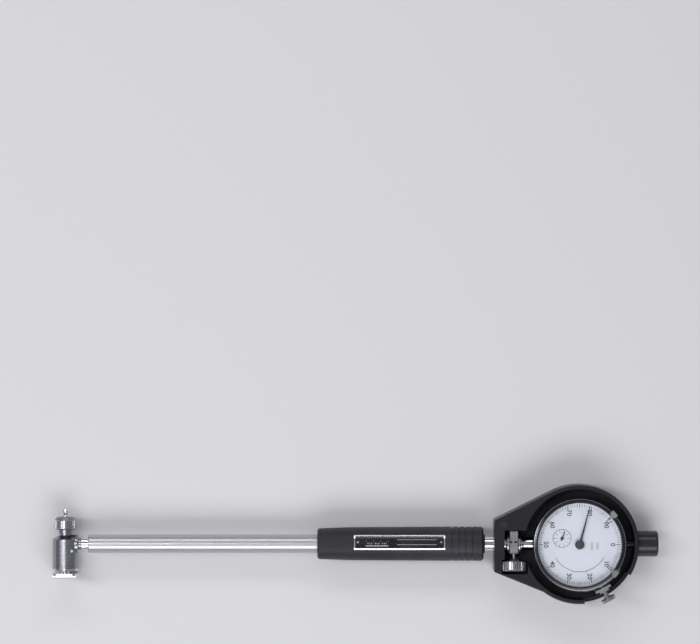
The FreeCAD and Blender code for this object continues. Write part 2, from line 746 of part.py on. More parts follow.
def make_guide_bridge():
    """Centring guide: a plate with two rounded rails that straddle the contact."""
    middle = "-guide_top - guide_thickness / 2"
    foot = "axis_height - guide_span / 2"
    plate = box(
        "guide_plate", "guide_width", "guide_thickness", "guide_span",
        "-head_reach", middle, foot,
    )
    rails = [
        cylinder(
            "guide_rail", "guide_rail_radius", "guide_width - 1", X_AXIS,
            "-head_reach - guide_width / 2 + 0.5", "-guide_top - guide_thickness",
            f"axis_height {sign} guide_rail_offset",
        )
        for sign in "+-"
    ]
    boss = cylinder(
        "guide_boss", "guide_boss_radius", "guide_thickness + 0.5", -Y_AXIS,
        "-head_reach", "-guide_top", "axis_height",
    )
    relief = box(
        "guide_relief", "guide_width * 2", "guide_rail_radius * 2", "guide_span * 2",
        "-head_reach", "-guide_top + guide_rail_radius", "axis_height - guide_span",
    )
    way = cylinder(
        "guide_way", "spindle_radius + 0.3", "guide_thickness * 4", -Y_AXIS,
        "-head_reach", "-guide_top + guide_thickness", "axis_height",
    )
    holes = [
        cylinder(
            "guide_pin_hole", "guide_pin_radius + seat_gap", "guide_thickness - 0.3", -Y_AXIS,
            "-head_reach", "-guide_top", f"axis_height {sign} guide_pin_offset",
        )
        for sign in "+-"
    ]
    corners = doc.addObject("Part::Fillet", "guide_plate_rounded")
    corners.Base = plate
    doc.recompute()
    upright = [
        (i, 2.5, 2.5)
        for i, edge in enumerate(plate.Shape.Edges, start=1)
        if abs(edge.Length - value("guide_thickness")) < 1e-6
    ]
    corners.Edges = upright
    solid = joined("guide_blank", corners, boss, *rails)
    return keep(trimmed("guide_bridge", solid, relief, way, *holes))


def make_guide_pins():
    """Two headed pins that carry the guide and slide in the end bush."""
    pins = []
    for sign in "+-":
        height = f"axis_height {sign} guide_pin_offset"
        shank = cylinder(
            "guide_pin_shank", "guide_pin_radius",
            "guide_top + guide_thickness - 0.4 - guide_pin_reach", Y_AXIS,
            "-head_reach", "-guide_top - guide_thickness + 0.4", height,
        )
        head = cylinder(
            "guide_pin_head", "guide_pin_head",
            "head_bottom - bush_depth - guide_pin_reach - face_gap", Y_AXIS,
            "-head_reach", "-head_bottom + bush_depth + face_gap", height,
        )
        pins.append(joined("guide_pin", shank, head))
    return keep(grouped("guide_pins", *pins))


# ---------------------------------------------------------------- tube and push rod


def turned_on_tube(label, profile, axis="H_Axis"):
    """A piece turned about the tube's axis from (position along X, radius) corners."""
    body = new_body(label, **ON_TUBE)
    spin(body, outline(body, "XY_Plane", profile), axis)
    return body


def sleeve_profile(start, end, inner, outer):
    return [(start, inner), (end, inner), (end, outer), (start, outer)]


def make_lock_ring():
    """Polished ring that locks the head on the tube, with a groove beside the tube."""
    bore = "spigot_radius + seat_gap"
    start = "-head_reach + ring_start"
    end = "-head_reach + ring_end"
    profile = [
        (start, bore),
        (end, bore),
        (end, "ring_radius - 0.4"),
        (end + " - 0.9", "ring_radius - 0.4"),
        (end + " - 0.9", "ring_radius"),
        (start + " + 0.4", "ring_radius"),
        (start, "ring_radius - 0.4"),
    ]
    return keep(turned_on_tube("lock_ring", profile))


def make_tube():
    start = "-head_reach + tube_start"
    bore = "spigot_radius + seat_gap"
    profile = [
        (start, bore),
        ("-tube_end", bore),
        ("-tube_end", "tube_radius"),
        (start + " + 0.4", "tube_radius"),
        (start, "tube_radius - 0.4"),
    ]
    return keep(turned_on_tube("tube", profile))


def make_push_rod():
    """Long rod from the bell crank to the indicator's tip, with rounded ends."""
    start = "-head_reach + crank_arm + crank_nose_radius + 2 * face_gap"
    end = "-tip_end - face_gap"
    profile = [
        (start, "0"),
        (end, "0"),
        (end, "rod_radius - 0.3"),
        (end + " - 0.3", "rod_radius"),
        (start + " + 0.3", "rod_radius"),
        (start, "rod_radius - 0.3"),
    ]
    return keep(turned_on_tube("push_rod", profile))


def make_rod_bushes():
    """Two bushes pressed into the tube that carry the push rod."""
    bushes = [
        sleeve_bush("rod_bush_head", "-head_reach + spigot_reach + 1"),
        sleeve_bush("rod_bush_grip", "-shaft_depth - guide_bush_length - 1"),
    ]
    return keep(grouped("rod_bushes", *bushes))


def sleeve_bush(label, start):
    end = f"{start} + guide_bush_length"
    inner = "rod_radius + running_gap"
    return turned_on_tube(label, sleeve_profile(start, end, inner, "spigot_radius"))


# ---------------------------------------------------------------- grip and label


def make_grip():
    """Insulated grip: slim at the head, swelling to a ringed end with a low lip."""
    body = new_body("grip_blank", **ON_ROLLED_TUBE)
    tube_bore = "tube_radius + seat_gap"
    shaft_bore = "shaft_radius + seat_gap"
    profile = [
        ("-grip_start", tube_bore),
        ("-tube_end + face_gap", tube_bore),
        ("-tube_end + face_gap", shaft_bore),
        ("-grip_end + grip_lip", shaft_bore),
        ("-grip_end + grip_lip", "grip_lip_radius"),
        ("-grip_end", "grip_lip_radius"),
        ("-grip_end", "grip_radius_back - 1.2"),
        ("-grip_end - 1.2", "grip_radius_back"),
        ("-label_start + label_length", "grip_radius_back"),
        ("-label_start - 3", "grip_radius_back - 0.35"),
        ("-grip_start + 1", "grip_radius_front"),
        ("-grip_start", "grip_radius_front - 1"),
    ]
    spin(body, outline(body, "XY_Plane", profile), "H_Axis")
    ring = rectangle(
        body,
        "XY_Plane",
        "-ring_groove_start - ring_groove_width / 2",
        "-ring_groove_start + ring_groove_width / 2",
        "grip_radius_back - ring_groove_depth",
        "grip_radius_back + 1",
    )
    first = groove(body, ring, "H_Axis")
    repeat_along(body, first, "X_Axis", "ring_groove_pitch", GROOVES_ON_GRIP)
    recess = label_blank("label_recess", "0.25", "label_radius - label_thickness")
    recess_tool = trimmed("label_recess_tool", *recess)
    pin_holes = [
        label_pin("grip_pin_hole", end, "label_pin_radius + seat_gap", "3") for end in (0, 1)
    ]
    return keep(trimmed("grip", body, recess_tool, *pin_holes))


def label_blank(name, margin, inner):
    """A curved plate's block and the core that it is trimmed from, both on the tube."""
    block = doc.addObject("Part::Box", name)
    bind(
        block,
        Length=f"label_length + 2 * ({margin})",
        Width=f"label_width + 2 * ({margin})",
        Height="grip_radius_back + 5",
    )
    # the block is turned with the grip about the tube, so its corner turns too
    block.Placement = FreeCAD.Placement(FreeCAD.Vector(), FreeCAD.Rotation(X_AXIS, 1))
    block.setExpression(".Placement.Rotation.Angle", sized("tube_roll"))
    half = f"(label_width / 2 + ({margin}))"
    turned = "cos(tube_roll * 1 deg)", "sin(tube_roll * 1 deg)"
    place(
        block,
        f"-label_start - ({margin})",
        f"-{half} * {turned[0]}",
        f"axis_height - {half} * {turned[1]}",
    )
    core = cylinder(
        name + "_core", inner, "label_length + 20", X_AXIS,
        "-label_start - 10", "0", "axis_height",
    )
    return block, core


def make_label_plate():
    """Thin plate bent to the grip's radius, with rounded corners."""
    block, core = label_blank("label_block", "0", "label_radius - label_thickness + seat_gap")
    plate = trimmed("label_bent", block, core)
    shell = cylinder(
        "label_shell", "label_radius", "label_length + 20", X_AXIS,
        "-label_start - 10", "0", "axis_height",
    )
    bent = doc.addObject("Part::Common", "label_plate_blank")
    bent.Base = plate
    bent.Tool = shell
    holes = [label_pin("label_pin_hole", end, "label_pin_radius + seat_gap", "3") for end in (0, 1)]
    return keep(trimmed("label_plate", bent, *holes))


def label_pin(name, end, radius, height):
    """A cylinder square to the label at one of its ends, up from inside the grip."""
    inset = "-label_start + label_pin_inset"
    if end:
        inset = "-label_start + label_length - label_pin_inset"
    pin = doc.addObject("Part::Cylinder", name)
    bind(pin, Radius=radius, Height=height)
    pin.Placement = FreeCAD.Placement(FreeCAD.Vector(), FreeCAD.Rotation(X_AXIS, 1))
    pin.setExpression(".Placement.Rotation.Angle", sized("tube_roll"))
    foot = "(label_radius - 2)"
    return place(
        pin,
        inset,
        f"-{foot} * sin(tube_roll * 1 deg)",
        f"axis_height + {foot} * cos(tube_roll * 1 deg)",
    )


def make_label_pins():
    shanks = [label_pin("label_pin", end, "label_pin_radius", "2.25") for end in (0, 1)]
    return keep(grouped("label_pins", *shanks))


# ---------------------------------------------------------------- stem holder and collar

COLLAR_MIDDLE = "-collar_start + collar_width / 2"


def make_upper_shaft():
    """Bright shaft from the tube to a slit sleeve that takes the indicator's stem."""
    body = new_body("upper_shaft", **ON_ROLLED_TUBE)
    stem_bore = "stem_radius + seat_gap"
    shoulder = "-sleeve_start - 0.2"
    profile = [
        ("-shaft_depth", "shaft_bore_radius"),
        ("-sleeve_start", "shaft_bore_radius"),
        ("-sleeve_start", stem_bore),
        ("-sleeve_end", stem_bore),
        ("-sleeve_end", "sleeve_radius - 0.7"),
        ("-sleeve_end - 0.9", "sleeve_radius"),
        (shoulder, "sleeve_radius"),
        (shoulder, "shaft_radius"),
        ("-tube_end + 2 * face_gap", "shaft_radius"),
        ("-tube_end + 2 * face_gap", "spigot_radius"),
        ("-shaft_depth", "spigot_radius"),
    ]
    spin(body, outline(body, "XY_Plane", profile), "H_Axis")
    slit = rectangle(
        body, "XZ_Plane", "-sleeve_start + 1", "-sleeve_end + 1", "0", "sleeve_radius + 1"
    )
    cut(body, slit, "slit_width", symmetric=True)
    return keep(body)


def make_clamp_collar():
    """Split collar: a ring with two ears, slit between them, that a screw draws together."""
    body = new_body("clamp_collar", **ON_ROLLED_TUBE)
    ring = circles(body, "YZ_Plane", "collar_ring_radius", lift=COLLAR_MIDDLE)
    extrude(body, ring, "collar_width", symmetric=True)
    soften(
        body, "0.7",
        lambda edge: isinstance(edge.Curve, Part.Circle), "PartDesign::Chamfer",
    )
    ears = rectangle(
        body, "YZ_Plane", "-ear_half", "ear_half", "0", "ear_height", lift=COLLAR_MIDDLE
    )
    extrude(body, ears, "ear_width", symmetric=True)
    doc.recompute()
    top = value("ear_height")
    soften(
        body, "0.5",
        lambda edge: abs(edge.CenterOfMass.z - top) < 1e-3, "PartDesign::Chamfer",
    )
    bore = circles(body, "YZ_Plane", "sleeve_radius + seat_gap", lift=COLLAR_MIDDLE)
    cut(body, bore, "collar_width * 2", symmetric=True)
    slit = rectangle(
        body, "YZ_Plane", "-slit_width / 2", "slit_width / 2", "0", "ear_height + 1",
        lift=COLLAR_MIDDLE,
    )
    cut(body, slit, "collar_width * 2", symmetric=True)
    hole = circles(
        body, "XZ_Plane", "screw_radius + running_gap", [(COLLAR_MIDDLE, "screw_height")]
    )
    cut(body, hole, "ear_half * 2", symmetric=True)
    return keep(body)


def make_collar_screw():
    """Thumb screw of the collar: shank, thin neck, cone and knurled head."""
    body = new_body(
        "collar_screw",
        across=COLLAR_MIDDLE,
        along="-screw_height * sin(tube_roll * 1 deg)",
        up="axis_height + screw_height * cos(tube_roll * 1 deg)",
        turn=(X_AXIS, "tube_roll"),
    )
    profile = [
        ("0", "ear_half - 1"),
        ("screw_radius - 0.3", "ear_half - 1"),
        ("screw_radius", "ear_half - 1.3"),
        ("screw_radius", "-ear_half - 0.5"),
        ("screw_neck_radius", "-ear_half - 0.5"),
        ("screw_neck_radius", "-screw_head_start + 1.9"),
        ("screw_head_radius * 0.65", "-screw_head_start"),
        ("screw_head_radius - 0.6", "-screw_head_start"),
        ("screw_head_radius", "-screw_head_start - 0.6"),
        ("screw_head_radius", "-screw_head_end + 0.6"),
        ("screw_head_radius - 0.6", "-screw_head_end"),
        ("0", "-screw_head_end"),
    ]
    spin(body, outline(body, "XY_Plane", profile), "V_Axis")
    knurl(
        body, "Y_Axis", "XZ_Plane", "screw_head_radius", "-screw_head_end",
        "-screw_head_start", "knurl_depth", KNURLS_ON_SCREW,
    )
    return keep(body)


# ---------------------------------------------------------------- dial indicator

BACK_SCREW_CIRCLE = "case_radius - case_wall - 1.7"
CASE_INSIDE = "case_radius - case_wall"
LEDGE_TOP = "lower_plate - face_gap"


def turned_on_dial(label, profile):
    """A piece turned about the dial's axis from (radius, height over the stem) corners."""
    body = new_body(label, **ON_TUBE)
    spin(body, outline(body, "XZ_Plane", profile), "V_Axis")
    return body


def flat_ring(inner, outer, low, high):
    return [(inner, low), (outer, low), (outer, high), (inner, high)]


def make_case():
    """Cup of the indicator with a ledge for the movement and bosses for the back screws."""
    seat = "-case_bottom + back_thickness + face_gap"
    profile = [
        ("case_radius", seat),
        ("case_radius", "case_top"),
        (CASE_INSIDE, "case_top"),
        (CASE_INSIDE, LEDGE_TOP),
        (CASE_INSIDE + " - 1.6", LEDGE_TOP),
        (CASE_INSIDE + " - 1.6", LEDGE_TOP + " - 1.6"),
        (CASE_INSIDE, LEDGE_TOP + " - 1.6"),
        (CASE_INSIDE, seat),
    ]
    body = turned_on_dial("indicator_case", profile)
    spots = [polar(BACK_SCREW_CIRCLE, str(angle)) for angle in (45, 135, 225, 315)]
    bosses = circles(body, "XY_Plane", "1.9", spots, lift=seat)
    extrude(body, bosses, "4.5")
    holes = circles(body, "XY_Plane", "0.9 + seat_gap", spots, lift=seat)
    cut(body, holes, "8", symmetric=True)
    ways = [
        ("stem_radius + seat_gap", "-" + "case_radius"),
        ("plunger_radius + 0.8 + seat_gap", "case_radius"),
    ]
    for radius, wall in ways:
        way = circles(body, "YZ_Plane", radius, lift=wall)
        cut(body, way, "8", symmetric=True)
    return keep(body)


def make_case_back():
    """Back plate with four screw holes and a pivot boss for the counter's arbor."""
    low = "-case_bottom"
    profile = [
        ("0", low),
        ("case_radius - 0.5", low),
        ("case_radius", low + " + 0.5"),
        ("case_radius", low + " + back_thickness"),
        ("0", low + " + back_thickness"),
    ]
    body = turned_on_dial("case_back", profile)
    arbor = [("-arbor_x", "arbor_y")]
    boss = circles(body, "XY_Plane", "1.6", arbor, lift=low + " + back_thickness")
    extrude(body, boss, "2.4")
    pivot = circles(
        body, "XY_Plane", "arbor_radius + running_gap", arbor, lift=low + " + back_thickness"
    )
    cut(body, pivot, "3", backwards=True)
    spots = [polar(BACK_SCREW_CIRCLE, str(angle)) for angle in (45, 135, 225, 315)]
    cut(body, circles(body, "XY_Plane", "0.9 + seat_gap", spots, lift=low), "6", True)
    heads = circles(body, "XY_Plane", "1.7 + seat_gap", spots, lift=low)
    cut(body, heads, "0.7", backwards=True)
    return keep(body)


def make_back_screws():
    """Four cheese-head screws with slots."""
    screws = []
    for angle in (45, 135, 225, 315):
        across, along = polar(BACK_SCREW_CIRCLE, str(angle))
        foot = "axis_height - case_bottom"
        head = cylinder("back_screw_head", "1.7", "0.65", Z_AXIS, across, along, foot)
        shank = cylinder("back_screw_shank", "0.9", "5", Z_AXIS, across, along, foot)
        slot = box("back_screw_slot", "4", "0.5", "0.8", across, along, foot + " - 0.4")
        screws.append(trimmed("back_screw", joined("back_screw_blank", head, shank), slot))
    return keep(grouped("back_screws", *screws))


def make_stem():
    start = "-stem_end"
    end = "-(" + CASE_INSIDE + ") - 0.1"
    bore = "plunger_radius + running_gap"
    profile = [
        (start, bore),
        (end, bore),
        (end, "stem_radius"),
        (start + " + 0.4", "stem_radius"),
        (start, "stem_radius - 0.4"),
    ]
    return keep(turned_on_tube("indicator_stem", profile))


def make_rear_bush():
    start = CASE_INSIDE + " + 0.1"
    profile = sleeve_profile(
        start, "case_radius + 2.5", "plunger_radius + running_gap", "plunger_radius + 0.8"
    )
    return keep(turned_on_tube("rear_bush", profile))


def make_plunger():
    """Plunger of the indicator with a rack cut into its side."""
    body = new_body("plunger", **ON_TUBE)
    profile = [
        ("-plunger_end", "0"),
        ("plunger_back", "0"),
        ("plunger_back", "plunger_radius - 0.4"),
        ("plunger_back - 0.4", "plunger_radius"),
        ("-plunger_end + 0.4", "plunger_radius"),
        ("-plunger_end", "plunger_radius - 0.4"),
    ]
    spin(body, outline(body, "XY_Plane", profile), "H_Axis")
    pitch = "rack_module * 3.14159265"
    pitch_line = "arbor_y - rack_module * rack_teeth_on_pinion / 2"
    root = f"{pitch_line} - 1.3 * rack_module"
    crest = "plunger_radius + 0.3"
    start = f"-arbor_x - {RACK_TEETH // 2} * {pitch}"
    space = outline(
        body,
        "XY_Plane",
        [
            (f"{start} - 0.17 * {pitch}", root),
            (f"{start} + 0.17 * {pitch}", root),
            (f"{start} + 0.52 * {pitch}", crest),
            (f"{start} - 0.52 * {pitch}", crest),
        ],
    )
    doc.recompute()
    notch = cut(body, space, "plunger_radius * 2", symmetric=True)
    repeat_along(body, notch, "X_Axis", pitch, RACK_TEETH)
    return keep(body)


def make_plunger_tip():
    """Screwed-on tip of the plunger with a rounded end towards the push rod."""
    profile = [
        ("-tip_end", "0", "1.4", "right"),
        ("-plunger_end - face_gap", "0"),
        ("-plunger_end - face_gap", "plunger_radius - 0.2"),
        ("-tip_end + 3", "plunger_radius - 0.2"),
        ("-tip_end + 1.4", "1.4"),
    ]
    return keep(turned_on_tube("plunger_tip", profile))


def toothed(teeth, module, thickness, first_angle):
    """A spur gear about Z: straight-flanked teeth, one of them centred on first_angle."""
    pitch_radius = module * teeth / 2
    tip_radius = pitch_radius + 0.9 * module
    root_radius = pitch_radius - 1.25 * module
    step = 2 * math.pi / teeth
    corners = []
    for tooth in range(teeth):
        middle = first_angle + tooth * step
        for radius, share in (
            (root_radius, -0.34), (tip_radius, -0.11), (tip_radius, 0.11), (root_radius, 0.34)
        ):
            angle = middle + share * step
            corners.append(
                FreeCAD.Vector(radius * math.cos(angle), radius * math.sin(angle), 0)
            )
    face = Part.Face(Part.makePolygon(corners + corners[:1]))
    return face.extrude(FreeCAD.Vector(0, 0, thickness))


def make_counter_arbor():
    """Arbor of the counter hand with the rack pinion and the large wheel."""
    to_centre = math.atan2(-value("arbor_y"), value("arbor_x"))
    centre_distance = math.hypot(value("arbor_x"), value("arbor_y"))
    wheel_module = 2 * centre_distance / (value("wheel_teeth") + value("centre_teeth"))
    pinion = toothed(
        int(value("rack_teeth_on_pinion")), value("rack_module"), 1.6, -math.pi / 2
    )
    pinion.translate(FreeCAD.Vector(0, 0, -0.8))
    wheel = toothed(
        int(value("wheel_teeth")), wheel_module, value("wheel_thickness"), to_centre
    )
    wheel.translate(FreeCAD.Vector(0, 0, value("wheel_height")))
    low = value("-case_bottom + back_thickness + face_gap")
    arbor = Part.makeCylinder(
        value("arbor_radius"), value("counter_hand_height") - low, FreeCAD.Vector(0, 0, low)
    )
    return keep(
        shaped(
            "counter_arbor",
            arbor.fuse([pinion, wheel]),
            FreeCAD.Vector(-value("arbor_x"), value("arbor_y"), value("axis_height")),
        )
    )


def make_centre_arbor():
    """Arbor of the main hand with its pinion, in mesh with the large wheel."""
    centre_distance = math.hypot(value("arbor_x"), value("arbor_y"))
    wheel_module = 2 * centre_distance / (value("wheel_teeth") + value("centre_teeth"))
    to_wheel = math.atan2(value("arbor_y"), -value("arbor_x"))
    teeth = int(value("centre_teeth"))
    pinion = toothed(teeth, wheel_module, 1.0, to_wheel + math.pi / teeth)
    pinion.translate(FreeCAD.Vector(0, 0, value("wheel_height") - 0.2))
    low = value("lower_plate + face_gap")
    arbor = Part.makeCylinder(
        value("arbor_radius"), value("hand_height") - low, FreeCAD.Vector(0, 0, low)
    )
    return keep(
        shaped("centre_arbor", arbor.fuse(pinion), FreeCAD.Vector(0, 0, value("axis_height")))
    )


def shaped(label, shape, position):
    """A part whose outline is worked out by a loop, put at a point."""
    piece = doc.addObject("Part::Feature", label)
    piece.Label = label
    piece.Shape = shape.removeSplitter()
    piece.Placement = FreeCAD.Placement(position, FreeCAD.Rotation())
    return piece


PILLAR_ANGLES = (75, -25, -105)


def make_movement_plates():
    """Lower plate on the case's ledge, three pillars and the upper plate."""
    arbors = [("0", "0"), ("-arbor_x", "arbor_y")]
    spots = [polar("pillar_circle", str(angle)) for angle in PILLAR_ANGLES]
    rim = CASE_INSIDE + " - running_gap"
    lower = turned_on_dial(
        "lower_plate", flat_ring("0", rim, "lower_plate", "lower_plate + plate_thickness")
    )
    upper = turned_on_dial(
        "upper_plate",
        flat_ring("0", "plate_radius", "upper_plate", "upper_plate + plate_thickness"),
    )
    for plate, height in ((lower, "lower_plate"), (upper, "upper_plate")):
        hole = circles(plate, "XY_Plane", "arbor_radius + running_gap", arbors, lift=height)
        cut(plate, hole, "plate_thickness * 3", symmetric=True)
    pillars = [
        cylinder(
            "pillar", "pillar_radius",
            "upper_plate - lower_plate - plate_thickness - 2 * face_gap", Z_AXIS,
            across, along, "axis_height + lower_plate + plate_thickness + face_gap",
        )
        for across, along in spots
    ]
    return keep(lower), keep(upper), keep(grouped("plate_pillars", *pillars))


def make_dial():
    """Fixed dial centre on three feet, and the scale ring that turns with the bezel."""
    top = "dial_height + dial_thickness"
    centre = turned_on_dial("dial_centre", flat_ring("0", "dial_split", "dial_height", top))
    foot_spots = [polar("dial_split - 3", str(angle)) for angle in (20, 110, 250)]
    foot_top = "upper_plate + plate_thickness + face_gap"
    feet = circles(centre, "XY_Plane", "1.2", foot_spots, lift=foot_top)
    extrude(centre, feet, f"dial_height - ({foot_top})")
    holes = circles(
        centre, "XY_Plane", "arbor_radius + 0.4", [("0", "0"), ("-arbor_x", "arbor_y")],
        lift="dial_height",
    )
    cut(centre, holes, "dial_thickness * 4", symmetric=True)
    ring = turned_on_dial(
        "dial_ring", flat_ring("dial_split + 0.08", "dial_radius", "dial_height", top)
    )
    return keep(centre), keep(ring)


def make_bezel():
    """Turning bezel: skirt over the case, ledge for the dial, groove for the crystal."""
    groove_top = "glass_bottom + glass_thickness + face_gap"
    profile = [
        ("case_radius + running_gap", "bezel_bottom"),
        ("bezel_radius - 0.3", "bezel_bottom"),
        ("bezel_radius", "bezel_bottom + 0.3"),
        ("bezel_radius", "bezel_top - 1.8"),
        ("bezel_radius - 0.6", "bezel_top - 0.4"),
        ("bezel_radius - 2.1", "bezel_top"),
        ("window_radius", f"{groove_top} + 0.3"),
        ("window_radius", groove_top),
        ("glass_radius + seat_gap", groove_top),
        ("glass_radius + seat_gap", "glass_bottom - face_gap"),
        ("window_radius", "glass_bottom - face_gap"),
        ("window_radius", "dial_height - face_gap"),
        ("dial_radius - 1", "dial_height - face_gap"),
        ("dial_radius - 1", "case_top + 2 * face_gap"),
        ("case_radius + running_gap", "case_top + 2 * face_gap"),
    ]
    return keep(turned_on_dial("bezel", profile))


def make_crystal():
    top = "glass_bottom + glass_thickness"
    return keep(
        turned_on_dial("crystal", flat_ring("0", "glass_radius", "glass_bottom", top))
    )


def make_main_hand():
    """Tapered pointer on a turned hub."""
    body = new_body("main_hand", up="axis_height + hand_height", turn=(Z_AXIS, "main_angle"))
    hub = [
        ("0", "-0.5"),
        ("hub_radius - 1", "-0.5"),
        ("hub_radius", "0"),
        ("hub_radius", "0.3"),
        ("hub_radius - 0.5", "hub_height - 0.4"),
        ("0", "hub_height - 0.4"),
    ]
    spin(body, outline(body, "XZ_Plane", hub), "V_Axis")
    blade = outline(
        body,
        "XY_Plane",
        [("0", "-0.75"), ("hand_length - 6", "-0.32"), ("hand_length", "-0.12"),
         ("hand_length", "0.12"), ("hand_length - 6", "0.32"), ("0", "0.75")],
    )
    extrude(body, blade, "hand_thickness")
    bore = circles(body, "XY_Plane", "arbor_radius + seat_gap", lift="-0.6")
    cut(body, bore, "0.6", backwards=True)
    return keep(body)


def make_small_hand():
    body = new_body(
        "small_hand", across="-arbor_x", along="arbor_y",
        up="axis_height + counter_hand_height", turn=(Z_AXIS, "counter_angle"),
    )
    extrude(body, circles(body, "XY_Plane", "0.8"), "hand_thickness")
    blade = outline(
        body,
        "XY_Plane",
        [("-1.6", "-0.25"), ("0", "-0.45"), ("counter_hand_length", "-0.1"),
         ("counter_hand_length", "0.1"), ("0", "0.45"), ("-1.6", "0.25")],
    )
    extrude(body, blade, "hand_thickness")
    return keep(body)


def make_limit_marker(label, angle):
    """Spring clip over the bezel with a square tab and a pointer over the crystal."""
    body = new_body(label, up="axis_height", turn=(Z_AXIS, angle))
    low = "bezel_top + face_gap"
    outer = "bezel_radius + face_gap + marker_sheet"
    half = "marker_tab / 2"
    plan = [
        ("marker_tip", "-0.12"),
        ("marker_inner - 3", "-0.4"),
        ("marker_inner", "-1.1"),
        ("marker_inner", "-" + half),
        (outer, "-" + half),
        (outer, half),
        ("marker_inner", half),
        ("marker_inner", "1.1"),
        ("marker_inner - 3", "0.4"),
        ("marker_tip", "0.12"),
    ]
    extrude(body, outline(body, "XY_Plane", plan, lift=low), "marker_sheet")
    leg = rectangle(
        body, "XY_Plane", "bezel_radius + face_gap", outer, "-" + half, half,
        lift="bezel_top + face_gap - marker_leg",
    )
    extrude(body, leg, "marker_leg + marker_sheet")
    return keep(body)


LOCK_SCREW_HEIGHT = "bezel_bottom + 2.9"


def make_lock_bracket():
    """Bent bracket on the case's side with a threaded bar for the bezel's clamp screw."""
    body = new_body("lock_bracket", up="axis_height", turn=(Z_AXIS, "lock_angle"))
    foot = "case_radius + face_gap"
    back = "lock_face + lock_sheet"
    profile = [
        (foot, "-1"),
        (back, "-1"),
        (back, LOCK_SCREW_HEIGHT + " + 2.2"),
        ("lock_face", LOCK_SCREW_HEIGHT + " + 2.2"),
        ("lock_face", "0.6"),
        (foot, "0.6"),
    ]
    extrude(body, outline(body, "XZ_Plane", profile), "lock_width", symmetric=True)
    bar = rectangle(
        body, "XZ_Plane", back + " - 0.2", back + " + 1.3",
        LOCK_SCREW_HEIGHT + " - 2", LOCK_SCREW_HEIGHT + " + 2",
    )
    extrude(body, bar, "lock_width * 0.6", symmetric=True)
    hole = circles(
        body, "YZ_Plane", "lock_screw_radius + running_gap", [("0", LOCK_SCREW_HEIGHT)],
        lift="lock_face",
    )
    cut(body, hole, "8", symmetric=True)
    return keep(body)


def make_lock_screw():
    """Clamp screw of the bezel with a disc knob."""
    body = new_body(
        "lock_screw", up="axis_height + " + LOCK_SCREW_HEIGHT, turn=(Z_AXIS, "lock_angle")
    )
    knob_end = "lock_knob_start + lock_knob"
    profile = [
        ("bezel_radius + face_gap", "0"),
        ("bezel_radius + face_gap", "lock_screw_radius - 0.3"),
        ("bezel_radius + face_gap + 0.3", "lock_screw_radius"),
        ("lock_knob_start - 0.8", "lock_screw_radius"),
        ("lock_knob_start - 0.8", "lock_knob_radius * 0.5"),
        ("lock_knob_start", "lock_knob_radius * 0.5"),
        ("lock_knob_start", "lock_knob_radius - 0.4"),
        ("lock_knob_start + 0.4", "lock_knob_radius"),
        (knob_end + " - 0.4", "lock_knob_radius"),
        (knob_end, "lock_knob_radius - 0.4"),
        (knob_end, "0"),
    ]
    spin(body, outline(body, "XY_Plane", profile), "H_Axis")
    return keep(body)


# ---------------------------------------------------------------- protective cover


def side_at(position, high):
    """Rule for the outer side of the cover's neck at a rule for the distance from the dial."""
    end = "neck_high" if high else "neck_low"
    angle = "join_high" if high else "join_low"
    join_x, join_y = polar("cover_radius", angle)
    rise = f"(abs({join_y}) - {end}) / (cover_end + ({join_x}))"
    rule = f"({end} + ({rise}) * (cover_end - ({position})))"
    return rule if high else f"-{rule}"


def neck_wall(high):
    """Rule for the neck's wall measured across the tube, with its sign."""
    return "-1.12 * cover_wall" if high else "+ 1.12 * cover_wall"


def cover_plan():
    """Round housing drawn out into a tapering neck."""
    low_join = polar("cover_radius", "join_low")
    high_join = polar("cover_radius", "join_high")
    return [
        ("-cover_end", "-neck_low"),
        low_join,
        ("cover_radius", "0", "cover_radius", "left"),
        (*high_join, "cover_radius", "left"),
        ("-cover_end", "neck_high"),
    ]


